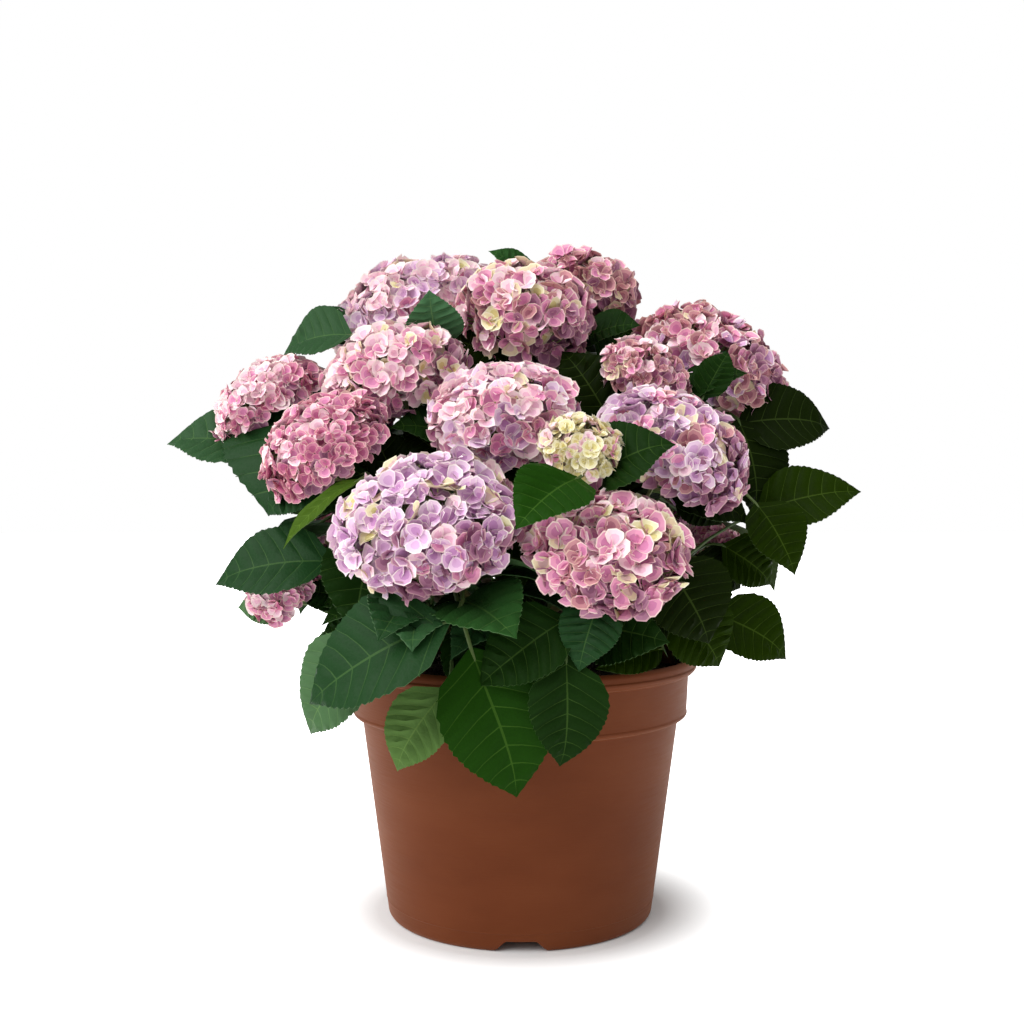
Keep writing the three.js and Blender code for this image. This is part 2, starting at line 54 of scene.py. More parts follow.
# The plant's own sizes in mm, the same as in its solids.
plantSizes = {
    "gap": 0.3,
    "soilTop": 179.0,
    "footWidth": 21.0,
    "caneRadius": 4.4,
    "forkRadius": 3.4,
    "petioleRadius": 1.7,
    "peduncle": 13.0,
    "stemRows": 3,
    "bloomRise": 0.4,
    "bloomDrop": 0.27,
    "bloomFocus": 215.0,
    "bloomUpright": 0.3,
    "ribShare": 0.0135,
    "foldShare": 0.16,
    "bowShare": 0.1,
    "clearance": 0.9,
    "rootDrop": 16.0,
}

# each cane's fork and low spur: bearing, reach, height
canes = {
    "front_left": ((-22, 72, 224), (-24, 128, 216)),
    "front_right": ((14, 70, 221), (12, 128, 214)),
    "right_front": ((50, 60, 247), (62, 126, 226)),
    "right_back": ((103, 68, 250), (98, 130, 228)),
    "back_right": ((142, 72, 242), (150, 130, 216)),
    "back": ((177, 66, 236), (183, 128, 212)),
    "back_left": ((-156, 70, 244), (-160, 126, 216)),
    "left_back": ((-126, 76, 228), (-118, 128, 218)),
    "left": ((-92, 72, 240), (-84, 130, 216)),
    "left_front": ((-57, 60, 246), (-52, 124, 226)),
    "middle": ((-20, 12, 268), None),
}

# cane, bearing, reach, height, width, colour mix, floret size
blooms = [
    ("front_left", -20, 170, 292, 114, "lilac", 24),
    ("front_right", 18, 173, 276, 98, "pinkGreen", 23.5),
    ("front_right", 14, 154, 340, 49, "young", 14),
    ("right_front", 51, 133, 339, 103, "lilacPale", 23),
    ("right_front", 75, 92, 393, 63, "cream", 16),
    ("right_back", 110, 155, 397, 121, "dusk", 23),
    ("right_back", 102, 150, 269, 53, "hot", 18),
    ("back_right", 154, 112, 465, 88, "brown", 23),
    ("back_right", 146, 184, 300, 100, "lilac", 23.5),
    ("back", 180, 150, 385, 104, "pink", 23.5),
    ("back", 176, 184, 245, 60, "cream", 17),
    ("back_left", -142, 120, 441, 146, "pinkPale", 23.5),
    ("back_left", -158, 183, 290, 100, "pinkGreen", 23),
    ("left_back", -128, 192, 350, 98, "lilacPale", 23),
    ("left_back", -118, 182, 262, 66, "dusk", 18),
    ("left", -92, 185, 373, 86, "rosePale", 18),
    ("left", -65, 178, 246, 60, "rosePale", 16),
    ("left_front", -75, 93, 391, 103, "pinkCream", 22),
    ("left_front", -54, 163, 341, 87, "rose", 18),
    ("middle", -7, 86, 361, 99, "pink", 23.5),
    ("middle", 172, 15, 438, 101, "pinkGreen", 24),
]

# cane, tip's bearing, reach and height, length, width, heading, droop, roll, tint
outerLeaves = [
    ("front_left", -1, 208, 228, 76, 60, 30, 10, -20, "mid"),
    ("front_left", -22, 225, 228, 62, 40, -10, 10, 15, "teal"),
    ("front_left", -17, 221, 223, 62, 44, 0, 5, 0, "grey"),
    ("front_left", -37, 219, 183, 103, 72, -100, 30, 54, "teal"),
    ("front_left", -46, 193, 156, 77, 61, -104, 51, 64, "pale"),
    ("front_left", -28, 170, 135, 63, 43, -99, 58, 74, "spring"),
    ("front_left", -1, 152, 118, 102, 70, 114, 72, -105, "deep"),
    ("front_right", 8, 174, 142, 70, 49, -124, 87, 133, "dark"),
    ("front_right", -9, 174, 194, 69, 50, -83, 35, 58, "dark"),
    ("front_right", 11, 183, 203, 47, 38, -42, 65, 36, "teal"),
    ("left", -91, 263, 348, 88, 66, -97, -7, 38, "grey"),
    ("left", -67, 190, 297, 129, 114, -23, 44, -9, "teal"),
    ("left", -67, 226, 250, 86, 54, -100, 10, 50, "teal"),
    ("left_front", -61, 195, 296, 48, 44, -97, 34, 58, "teal"),
    ("left_front", -46, 180, 228, 78, 56, -57, 0, 10, "dark"),
    ("left_front", -45, 213, 277, 67, 15, -67, 40, 27, "lime"),
    ("front_right", -1, 213, 292, 62, 48, -45, 28, 30, "deep"),
    ("front_right", 32, 180, 344, 60, 58, 77, -26, -46, "dark"),
    ("right_front", 82, 165, 397, 57, 40, 76, -21, -40, "dark"),
    ("right_front", 87, 150, 414, 52, 34, 53, -54, -80, "teal"),
    ("right_back", 95, 236, 359, 75, 57, 102, 1, -60, "shade"),
    ("right_front", 85, 248, 312, 77, 49, 86, -13, -56, "olive"),
    ("right_front", 76, 201, 253, 58, 47, 60, 58, -40, "olive"),
    ("right_back", 90, 187, 241, 50, 40, 104, 37, -80, "olive"),
    ("right_front", 69, 198, 196, 62, 48, 90, 31, -64, "olive"),
    ("front_right", 43, 179, 214, 60, 61, 81, 60, -65, "shade"),
    ("front_right", 52, 169, 195, 53, 51, 99, 52, -78, "olive"),
    ("front_right", 22, 130, 196, 51, 24, -67, 12, 64, "olive"),
    ("left", -99, 182, 414, 56, 67, -101, 14, 38, "grey"),
    ("left_back", -114, 172, 456, 42, 27, -111, -50, 59, "teal"),
    ("left_front", -58, 76, 453, 42, 42, -11, -61, 160, "mist"),
    ("middle", 105, 94, 436, 49, 40, 63, -13, -45, "dark"),
    ("back_right", 132, 137, 446, 50, 34, 98, -40, -50, "dark"),
    ("right_back", 87, 173, 292, 73, 58, 48, 78, -24, "shade"),
    ("left", -82, 206, 227, 40, 29, -97, 4, 77, "pale"),
    ("middle", -51, 114, 357, 66, 46, -57, -14, 45, "dark"),
    ("right_front", 76, 169, 289, 60, 44, 83, 19, -45, "shade"),
    ("front_right", 31, 178, 218, 64, 50, 46, 4, -70, "dark"),
    ("back_right", 138, 220, 214, 98, 70, 138, 34, 0, "teal"),
    ("back", 156, 212, 182, 100, 70, 160, 76, 0, "deep"),
    ("back", -172, 196, 146, 96, 66, -176, 66, 0, "fresh"),
    ("back_left", -155, 212, 186, 90, 72, -150, 50, 0, "teal"),
    ("left_back", -125, 226, 208, 100, 70, -110, 54, -30, "grey"),
    ("right_back", 112, 222, 230, 96, 66, 112, 36, 0, "olive"),
    ("left_back", -122, 222, 300, 90, 62, -122, 20, 0, "teal"),
    ("back_right", 128, 226, 286, 94, 66, 128, 30, -20, "dark"),
    ("back", 170, 205, 320, 85, 62, 160, 12, 10, "teal"),
    ("back_left", -170, 206, 330, 92, 62, -172, 6, -10, "grey"),
    ("left_back", -118, 224, 400, 84, 58, -116, -8, 0, "teal"),
    ("back_left", -150, 196, 400, 84, 56, -150, -10, 0, "dark"),
    ("back_right", 165, 196, 430, 80, 54, 177, -14, 0, "teal"),
    ("right_back", 128, 214, 400, 84, 58, 90, -18, 0, "dark"),
    ("middle", 64, 34, 413, 67, 48, -113, -55, 58, "shade"),
    ("right_front", 99, 93, 414, 71, 49, 115, -47, -64, "shade"),
    ("middle", -84, 52, 423, 58, 49, -84, -27, 63, "shade"),
    ("left_front", -65, 118, 356, 58, 42, -115, -60, 60, "shade"),
    ("left_front", -63, 177, 297, 60, 46, -94, 27, 58, "dark"),
    ("front_left", -55, 164, 236, 57, 46, -95, 10, 46, "dark"),
    ("right_front", 81, 152, 412, 42, 26, 117, -57, -55, "dark"),
    ("right_back", 88, 149, 286, 40, 40, 80, 42, -66, "shade"),
    ("front_right", 54, 103, 291, 45, 43, 90, 51, -78, "shade"),
    ("front_left", -7, 91, 346, 48, 41, 119, -65, -56, "shade"),
    ("left_front", -58, 142, 320, 40, 38, -98, -22, 58, "shade"),
    ("left_front", -59, 97, 354, 51, 38, -107, -35, 61, "shade"),
    ("left_front", -65, 170, 243, 48, 31, -105, -9, 53, "dark"),
    ("front_left", -59, 160, 211, 44, 29, -104, 16, 55, "dark"),
    ("front_left", -31, 119, 211, 45, 33, -80, 38, 55, "shade"),
    ("front_left", 15, 74, 228, 41, 30, 107, 34, -78, "shade"),
    ("middle", -131, 31, 491, 42, 32, -81, -39, 47, "mid"),
    ("right_back", 91, 165, 238, 44, 39, 102, 33, -82, "shade"),
]

# leaf pairs by rule: place on the stem, share of the full length, petiole; "pairs" are those of the
# solids' rule, "finer" are the smaller leaves between them
leafRule = {
    "pairs": ((0.86, 0.88, 22), (0.62, 1.0, 28), (0.38, 0.94, 30)),
    "finer": ((0.93, 0.52, 12), (0.74, 0.72, 20), (0.5, 0.8, 24), (0.26, 0.72, 24), (0.12, 0.6, 20)),
    "length": 100.0,
    "aspect": 0.66,
    "tries": 7,
    # how a leaf turns from pair to pair, from one side to the other and from try to try, in degrees
    "turns": {"pair": 90, "half": 180, "spread": 40, "first": 25, "try": 47},
    "lean": (0.85, 0.5),
    "part": {"least": 0.85, "spread": 0.27, "perTry": 0.05},
    "droop": {"more": 30, "limits": (-25, 62), "spread": 16},
    "rollSpread": 30,
    "limit": 45,
    "finerLimit": 200,
    "roomReach": 216.0,
    "roomMiddle": 300.0,
    "roomRise": 190.0,
    # open places at the bush's edges, seen from the front: across, height and radius
    "pockets": ((152, 282, 24), (192, 333, 22), (150, 232, 20), (140, 257, 18), (-188, 291, 20),
                (-166, 206, 24), (96, 180, 14), (-204, 268, 14), (154, 184, 10), (142, 166, 12)),
}


# A repeatable number from 0 to 1.
def seeded(k):
    s = math.sin(k * 12.9898 + 4.137) * 43758.5453
    return s - math.floor(s)


def seededMany(k):
    s = np.sin(np.asarray(k, dtype=float) * 12.9898 + 4.137) * 43758.5453
    return s - np.floor(s)


def polar(bearing, reach, height):
    b = math.radians(bearing)
    return Vector((reach * math.sin(b), -reach * math.cos(b), height))


# A curve as evenly walked points, from the control points of a Bezier.
def makeCurve(*control):
    points = []
    for i in range(201):
        level = list(control)
        while len(level) > 1:
            level = [a.lerp(b, i / 200) for a, b in zip(level, level[1:])]
        points.append(level[0])
    walked = [0.0]
    for a, b in zip(points, points[1:]):
        walked.append(walked[-1] + (b - a).length)
    return {"points": points, "walked": walked}


def pointAt(curve, share):
    goal = min(max(share, 0.0), 1.0) * curve["walked"][-1]
    i = min(int(np.searchsorted(curve["walked"], goal)), 200)
    if i == 0:
        return curve["points"][0].copy()
    before, after = curve["walked"][i - 1], curve["walked"][i]
    return curve["points"][i - 1].lerp(curve["points"][i], (goal - before) / max(after - before, 1e-9))


def tangentAt(curve, share):
    return (pointAt(curve, share + 0.004) - pointAt(curve, share - 0.004)).normalized()


# The place at a share of the way along a stem's straight pieces, as in the solids.
def placeOn(curve, share):
    rows = plantSizes["stemRows"]
    row = min(int(share * rows), rows - 1)
    return pointAt(curve, row / rows).lerp(pointAt(curve, (row + 1) / rows), share * rows - row)


def bloomAxis(centre):
    outward = Vector((centre.x, centre.y, centre.z - plantSizes["bloomFocus"])).normalized()
    return outward.lerp(Vector((0, 0, 1)), plantSizes["bloomUpright"]).normalized()


def bloomFoot(centre, width):
    return centre - bloomAxis(centre) * (plantSizes["bloomDrop"] * width + plantSizes["peduncle"])


def caneCurve(name):
    end = polar(*canes[name][0])
    level = Vector((end.x, end.y, 0))
    out = level.normalized() if level.length > 20 else Vector()
    start = Vector((0, 0, plantSizes["soilTop"] + plantSizes["gap"] + 7)) + out * 15
    return makeCurve(start, start.lerp(end, 0.5) + Vector((0, 0, 5)), end)


def massCurves(name):
    cane = caneCurve(name)
    ahead = tangentAt(cane, 1)
    start = pointAt(cane, 1) + ahead * plantSizes["gap"]
    knot = start + ahead * 9
    curves = []
    for owner, bearing, reach, height, width, *_ in blooms:
        if owner != name:
            continue
        centre = polar(bearing, reach, height)
        axis = bloomAxis(centre)
        top = bloomFoot(centre, width) - axis * plantSizes["gap"]
        span = (knot - top).length
        leave = knot + ahead * (span * 0.25) + Vector((0, 0, span * 0.1))
        curves.append(makeCurve(knot, leave, top - axis * (span * 0.35), top))
    if canes[name][1]:
        tip = polar(*canes[name][1])
        curves.append(makeCurve(knot, knot.lerp(tip, 0.5) + Vector((0, 0, 6)), tip))
    return {"start": start, "curves": curves}


# Where the leaves go, by the solids' own rule: a leaf's directions, and the place of its base.
def leafFrame(leaf):
    h, d, r = (math.radians(leaf[k]) for k in ("heading", "droop", "roll"))
    along = Vector((math.sin(h) * math.cos(d), -math.cos(h) * math.cos(d), -math.sin(d)))
    level = Vector((-math.cos(h), -math.sin(h), 0))
    upright = level.cross(along)
    side = level * math.cos(r) + upright * math.sin(r)
    face = upright * math.cos(r) - level * math.sin(r)
    return along, side, face, leaf["tip"] - along * leaf["length"]


# A tree of faces with its box, to test clearances with.
def slabFrom(corners, faces):
    low = [min(c[i] for c in corners) for i in range(3)]
    high = [max(c[i] for c in corners) for i in range(3)]
    return {"tree": BVHTree.FromPolygons(corners, faces), "low": low, "high": high}


# The plain slab of a leaf: share of the length and of the width for each of its rings.
slabRings = ((0, 0.05), (0.2, 0.84), (0.47, 1), (0.78, 0.58), (1, 0))
stemSlab = {"rows": 12, "sides": 5, "radius": 2.9}


def leafSlab(leaf, fat, withPetiole):
    along, side, face, base = leafFrame(leaf)
    rings = []
    for s, w in slabRings:
        middle = base + along * (s * leaf["length"])
        middle = middle + face * (plantSizes["bowShare"] * leaf["length"] * 4 * s * (1 - s))
        half = max(w * (leaf["width"] / 2 + fat), plantSizes["petioleRadius"] + fat)
        thick = plantSizes["ribShare"] * leaf["length"] / 2 + fat
        raised = half * 2 * plantSizes["foldShare"] if w > 0.3 else 0
        rings.append((middle, half if s < 1 else 0, thick if s < 1 else 0, raised if s < 1 else 0))
    if withPetiole:
        half = plantSizes["petioleRadius"] + fat
        rings.insert(0, (leaf["root"], half, half, 0))
    corners, quads = [], []
    for middle, half, thick, raised in rings:
        for x, z in ((0, 1), (1, 0), (0, -1), (-1, 0)):
            corners.append(middle + side * (x * half) + face * (abs(x) * raised + z * thick))
    for ring in range(len(rings) - 1):
        for k in range(4):
            a, b = ring * 4 + k, ring * 4 + (k + 1) % 4
            quads.append((a, b, b + 4, a + 4))
    quads.append((3, 2, 1, 0))
    return slabFrom(corners, quads)


def slabOfNode(name):
    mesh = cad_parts[name].data
    return slabFrom([v.co * 1000 for v in mesh.vertices], [tuple(p.vertices) for p in mesh.polygons])


def touches(a, b):
    for i in range(3):
        if a["low"][i] > b["high"][i] or b["low"][i] > a["high"][i]:
            return False
    return bool(a["tree"].overlap(b["tree"]))


def slabOfStems(curves):
    corners, quads = [], []
    rows, sides = stemSlab["rows"], stemSlab["sides"]
    for curve in curves:
        for row in range(rows + 1):
            p, t = pointAt(curve, row / rows), tangentAt(curve, row / rows)
            side = t.cross(Vector((0.3, 0.2, 1))).normalized()
            up = side.cross(t)
            for k in range(sides):
                a = k * math.tau / sides
                corners.append(p + (side * math.cos(a) + up * math.sin(a)) * stemSlab["radius"])
            if row:
                n = len(corners) - 2 * sides
                after = [(k + 1) % sides for k in range(sides)]
                quads += [(n + k, n + j, n + sides + j, n + sides + k) for k, j in enumerate(after)]
    return slabFrom(corners, quads)


def rootOn(curves, leaf):
    along, _, _, base = leafFrame(leaf)
    wanted = base - Vector((0, 0, plantSizes["rootDrop"]))
    best, least = None, 1e9
    for curve in curves:
        for i in range(5, 47):
            p = placeOn(curve, i / 48)
            cost = (p - wanted).length * (2 - (base - p).normalized().dot(along))
            if cost < least:
                best, least = p, cost
    return best


def proposedLeaf(curve, pair, p, half, k, attempt):
    share, part, petiole = pair
    turns, parts, droop, (out, on) = (leafRule[key] for key in ("turns", "part", "droop", "lean"))
    root, ahead = placeOn(curve, share), tangentAt(curve, share)
    level = Vector((0, 0, 1)).cross(ahead).normalized()
    rise = ahead.cross(level)
    turn = turns["pair"] * p + turns["half"] * half + turns["spread"] * seeded(k) + turns["first"]
    turn = math.radians(turn + turns["try"] * attempt)
    outward = level * math.cos(turn) + rise * math.sin(turn)
    lean = (outward * out + ahead * on).normalized()
    base = root + lean * petiole
    slope = math.degrees(-math.asin(max(-1, min(1, lean.z))))
    grown = parts["least"] + parts["spread"] * seeded(k + 2) - parts["perTry"] * attempt
    length = leafRule["length"] * part * grown
    low, high = droop["limits"]
    leaf = {
        "root": root,
        "length": length,
        "width": length * leafRule["aspect"],
        "heading": math.degrees(math.atan2(lean.x, -lean.y)),
        "droop": max(low, min(high, slope + droop["more"])) + droop["spread"] * (seeded(k + 1) - 0.5),
        "roll": leafRule["rollSpread"] * (seeded(k + 4) - 0.5),
        "tip": base.copy(),
    }
    leaf["tip"] = base + leafFrame(leaf)[0] * length
    return leaf


def isInRoom(leaf):
    tip = leaf["tip"]
    across = math.hypot(tip.x, tip.y) / leafRule["roomReach"]
    rise = (tip.z - leafRule["roomMiddle"]) / leafRule["roomRise"]
    if across**2 + rise**2 > 1:
        return False
    middle = leafFrame(leaf)[3].lerp(tip, 0.5)
    for px, pz, r in leafRule["pockets"]:
        if min(math.hypot(p.x - px, p.z - pz) for p in (tip, middle)) < r + 6:
            return False
    return True


def insideBloom(leaf):
    base = leafFrame(leaf)[3]
    for _, bearing, reach, height, width, *_ in blooms:
        centre = polar(bearing, reach, height)
        axis = bloomAxis(centre)
        for p in (base, base.lerp(leaf["tip"], 0.5), leaf["tip"]):
            off = p - centre
            up = off.dot(axis)
            flat = (off - axis * up).length
            depth = plantSizes["bloomRise"] if up > 0 else plantSizes["bloomDrop"]
            if (flat / (width / 2)) ** 2 + (up / (depth * width)) ** 2 < 1.05:
                return True
    return False


solidSlabs = [slabOfNode(n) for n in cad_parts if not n.startswith("leafy_mass_")]
masses = []
for i, name in enumerate(canes):
    mass = massCurves(name)
    mass.update({"name": name, "seed": i + 1, "stems": slabOfStems(mass["curves"])})
    mass.update({"kept": [], "whole": [], "blade": []})
    masses.append(mass)


def isClear(leaf, mass):
    if insideBloom(leaf):
        return False
    whole = leafSlab(leaf, plantSizes["clearance"], True)
    blade = leafSlab(leaf, plantSizes["clearance"] * 0.6, False)
    if any(touches(whole, solid) for solid in solidSlabs) or touches(blade, mass["stems"]):
        return False
    for other in masses:
        if other is not mass and touches(whole, other["stems"]):
            return False
        tried, taken = (blade, other["blade"]) if other is mass else (whole, other["whole"])
        if any(touches(tried, slab) for slab in taken):
            return False
    return True


def keepLeaf(leaf, mass):
    mass["kept"].append(leaf)
    mass["whole"].append(leafSlab(leaf, 0, True))
    mass["blade"].append(leafSlab(leaf, 0, False))


for name, bearing, reach, height, length, width, heading, droop, roll, tint in outerLeaves:
    mass = next(m for m in masses if m["name"] == name)
    leaf = {"tip": polar(bearing, reach, height), "length": length, "width": width}
    leaf.update({"heading": heading, "droop": droop, "roll": roll, "tint": tint, "outer": True})
    leaf["root"] = rootOn(mass["curves"], leaf)
    keepLeaf(leaf, mass)


def growPairs(pairs, shift, limit):
    grown = 0
    for p, pair in enumerate(pairs):
        for mass in masses:
            for c, curve in enumerate(mass["curves"]):
                for half in (0, 1):
                    k = mass["seed"] * 97 + c * 31 + p * 7 + half * 3 + shift
                    for attempt in range(leafRule["tries"]):
                        if grown >= limit:
                            break
                        leaf = proposedLeaf(curve, pair, p, half, k, attempt)
                        if isInRoom(leaf) and isClear(leaf, mass):
                            leaf["outer"] = shift == 0
                            keepLeaf(leaf, mass)
                            grown += 1
                            break
    return grown


ruled = growPairs(leafRule["pairs"], 0, leafRule["limit"])
finer = growPairs(leafRule["finer"], 1000, leafRule["finerLimit"])
print("leaves placed:", len(outerLeaves), "outer,", ruled, "ruled,", finer, "finer")


# A flat or straight pattern piece made with operators, read once and then copied many times.
def readTemplate(bm, zoneOf):
    bm.verts.ensure_lookup_table()
    bm.faces.ensure_lookup_table()
    corners = np.array([v.co[:] for v in bm.verts])
    faces = [[v.index for v in f.verts] for f in bm.faces]
    zones = np.array([zoneOf(f) for f in bm.faces])
    bm.free()
    return {"corners": corners, "faces": faces, "zones": zones}


# One mesh object from many copies: places is (copies, corners, 3) in mm, slots (copies, faces).
def meshOfCopies(name, batches, materials):
    corners, loops, totals, slots = [], [], [], []
    offset = 0
    for places, faces, slotRows in batches:
        count, size = places.shape[:2]
        corners.append(places.reshape(-1, 3))
        flat = np.array([i for f in faces for i in f])
        shifts = offset + np.arange(count) * size
        loops.append((flat[None, :] + shifts[:, None]).ravel())
        totals.append(np.tile([len(f) for f in faces], count))
        slots.append(np.asarray(slotRows).reshape(-1))
        offset += count * size
    corners, loops = np.concatenate(corners) * 0.001, np.concatenate(loops)
    totals, slots = np.concatenate(totals), np.concatenate(slots)
    mesh = bpy.data.meshes.new(name)
    mesh.vertices.add(len(corners))
    mesh.vertices.foreach_set("co", corners.ravel())
    mesh.loops.add(len(loops))
    mesh.loops.foreach_set("vertex_index", loops)
    mesh.polygons.add(len(totals))
    mesh.polygons.foreach_set("loop_start", np.concatenate(([0], np.cumsum(totals)[:-1])))
    mesh.polygons.foreach_set("material_index", slots)
    mesh.polygons.foreach_set("use_smooth", np.ones(len(totals), dtype=bool))
    for material in materials:
        mesh.materials.append(material)
    mesh.update(calc_edges=True)
    mesh.validate()
    mesh.set_sharp_from_angle(angle=math.radians(58))
    return linked(name, mesh)


def linked(name, mesh):
    piece = bpy.data.objects.new(name, mesh)
    scene.collection.objects.link(piece)
    return piece


def pieceFrom(name, bm):
    mesh = bpy.data.meshes.new(name)
    bm.to_mesh(mesh)
    bm.free()
    return linked(name, mesh)


# From the millimetres it was modelled in to metres, with smooth faces.
def toMetres(mesh):
    mesh.transform(Matrix.Scale(0.001, 4))
    for polygon in mesh.polygons:
        polygon.use_smooth = True


def settle(piece, slotName, *nodes):
    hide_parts(*nodes)
    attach(piece, "root")


# A straight stalk of a given number of sides and rows, closed at both ends.
def stalkTemplate(sides, rows):
    bm = bmesh.new()
    bmesh.ops.create_cone(bm, cap_ends=True, segments=sides, radius1=1, radius2=1, depth=1)
    bmesh.ops.translate(bm, verts=bm.verts, vec=(0, 0, 0.5))
    for row in range(1, rows):
        geom = bm.verts[:] + bm.edges[:] + bm.faces[:]
        bmesh.ops.bisect_plane(bm, geom=geom, plane_co=(0, 0, row / rows), plane_no=(0, 0, 1))
    return readTemplate(bm, lambda f: 0)


# Stalks carried along curves: points is (stalks, rows + 1, 3), radii the same without the last.
def bentStalks(template, points, radii):
    points, radii = np.asarray(points, dtype=float), np.asarray(radii, dtype=float)
    rows = points.shape[1] - 1
    ahead = np.gradient(points, axis=1)
    ahead /= np.linalg.norm(ahead, axis=2, keepdims=True) + 1e-12
    side = np.cross(ahead[:, 0], np.array([0.31, 0.23, 0.92]))
    side /= np.linalg.norm(side, axis=1, keepdims=True) + 1e-12
    sides, ups = [], []
    for row in range(rows + 1):
        side = side - ahead[:, row] * np.sum(side * ahead[:, row], axis=1, keepdims=True)
        side /= np.linalg.norm(side, axis=1, keepdims=True) + 1e-12
        sides.append(side)
        ups.append(np.cross(ahead[:, row], side))
    sides, ups = np.stack(sides, axis=1), np.stack(ups, axis=1)
    row = np.rint(template["corners"][:, 2] * rows).astype(int)
    x, y = template["corners"][:, 0], template["corners"][:, 1]
    reach = radii[:, row][:, :, None]
    return points[:, row] + sides[:, row] * reach * x[None, :, None] + ups[:, row] * reach * y[None, :, None]


# Finishes.
def newMaterial(name, colour, roughness):
    material = bpy.data.materials.new(name)
    material.use_nodes = True
    shader = material.node_tree.nodes["Principled BSDF"]
    shader.inputs["Base Color"].default_value = (*colour, 1)
    shader.inputs["Roughness"].default_value = roughness
    return material, shader


def link(material, a, b):
    material.node_tree.links.new(a, b)


def objectPlace(material, scale=(1, 1, 1)):
    nodes = material.node_tree.nodes
    coordinates, mapping = nodes.new("ShaderNodeTexCoord"), nodes.new("ShaderNodeMapping")
    mapping.inputs["Scale"].default_value = scale
    link(material, coordinates.outputs["Object"], mapping.inputs["Vector"])
    return mapping.outputs["Vector"]


# A shared relief group that puts out a mask and a bump normal. makeHeight adds the nodes that
# give the height from the place, and returns the socket with it.
def reliefGroup(name, values, makeHeight):
    group = bpy.data.node_groups.new(name, "ShaderNodeTree")
    face = group.interface
    face.new_socket("Vector", in_out="INPUT", socket_type="NodeSocketVector")
    for label, value in values.items():
        face.new_socket(label, in_out="INPUT", socket_type="NodeSocketFloat").default_value = value
    face.new_socket("Mask", in_out="OUTPUT", socket_type="NodeSocketFloat")
    face.new_socket("Normal", in_out="OUTPUT", socket_type="NodeSocketVector")
    nodes, links = group.nodes, group.links
    enter, leave = nodes.new("NodeGroupInput"), nodes.new("NodeGroupOutput")
    height, bump = makeHeight(nodes, links, enter.outputs), nodes.new("ShaderNodeBump")
    links.new(enter.outputs["Strength"], bump.inputs["Strength"])
    links.new(enter.outputs["Distance"], bump.inputs["Distance"])
    links.new(height, bump.inputs["Height"])
    links.new(height, leave.inputs["Mask"])
    links.new(bump.outputs["Normal"], leave.inputs["Normal"])
    return group


# Fine uneven grain.
def grainHeight(nodes, links, enter):
    grain = nodes.new("ShaderNodeTexNoise")
    for label in ("Vector", "Scale", "Detail"):
        links.new(enter[label], grain.inputs[label])
    return grain.outputs["Fac"]


# A net of small veins: how far each place lies from the edges of its cell.
def netHeight(nodes, links, enter):
    cells, level = nodes.new("ShaderNodeTexVoronoi"), nodes.new("ShaderNodeMapRange")
    cells.feature = "DISTANCE_TO_EDGE"
    level.inputs["From Max"].default_value = 0.35
    for label in ("Vector", "Scale"):
        links.new(enter[label], cells.inputs[label])
    links.new(cells.outputs["Distance"], level.inputs["Value"])
    return level.outputs["Result"]


grainValues = {"Scale": 300.0, "Detail": 4.0, "Strength": 0.2, "Distance": 0.0006}
netValues = {"Scale": 400.0, "Strength": 0.3, "Distance": 0.0005}
fineGrain = reliefGroup("fineGrain", grainValues, grainHeight)
veinNet = reliefGroup("veinNet", netValues, netHeight)


def addRelief(finish, group, scale, strength, distance, stretch=(1, 1, 1), roughness=None):
    material, shader = finish
    nodes = material.node_tree.nodes
    relief = nodes.new("ShaderNodeGroup")
    relief.node_tree = group
    relief.inputs["Scale"].default_value = scale
    relief.inputs["Strength"].default_value = strength
    relief.inputs["Distance"].default_value = distance
    link(material, objectPlace(material, stretch), relief.inputs["Vector"])
    link(material, relief.outputs["Normal"], shader.inputs["Normal"])
    if roughness:
        spread = nodes.new("ShaderNodeMapRange")
        spread.inputs["To Min"].default_value, spread.inputs["To Max"].default_value = roughness
        link(material, relief.outputs["Mask"], spread.inputs["Value"])
        link(material, spread.outputs["Result"], shader.inputs["Roughness"])


def reliefFinish(name, colour, roughness, group, *relief):
    material, shader = newMaterial(name, colour, roughness)
    addRelief((material, shader), group, *relief)
    return material, shader


# A colour that drifts between a few tones with a noise of its own.
def driftColour(material, shader, tones, scale, stretch=(1, 1, 1), detail=5.0):
    nodes = material.node_tree.nodes
    drift, ramp = nodes.new("ShaderNodeTexNoise"), nodes.new("ShaderNodeValToRGB")
    drift.inputs["Scale"].default_value = scale
    drift.inputs["Detail"].default_value = detail
    link(material, objectPlace(material, stretch), drift.inputs["Vector"])
    first, last = ramp.color_ramp.elements[0], ramp.color_ramp.elements[-1]
    first.position, first.color = tones[0][0], (*tones[0][1], 1)
    last.position, last.color = tones[-1][0], (*tones[-1][1], 1)
    for position, colour in tones[1:-1]:
        ramp.color_ramp.elements.new(position).color = (*colour, 1)
    link(material, drift.outputs["Fac"], ramp.inputs["Fac"])
    link(material, ramp.outputs["Color"], shader.inputs["Base Color"])


# The pot.
potSetup = {
    "steps": 144,
    "lip": 130.0,
    "lipTop": 191.0,
    "collar": 124.0,
    "collarBottom": 147.0,
    "bodyTop": 116.5,
    "foot": 97.6,
    "wall": 3.0,
    "floorUnder": 8.0,
    "floorTop": 11.0,
    "notches": 3,
    "notchWide": 37.0,
    "notchNarrow": 21.0,
    "notchHigh": 7.5,
    "notchUnder": 1.5,
    "notchDepth": 40.0,
    "notchReach": 92.0,
    "notchRound": 1.4,
    "holes": 6,
    "holeRadius": 6.0,
    "holeReach": 62.0,
    "holeDepth": 8.0,
    "colour": (0.138, 0.034, 0.0098),
}


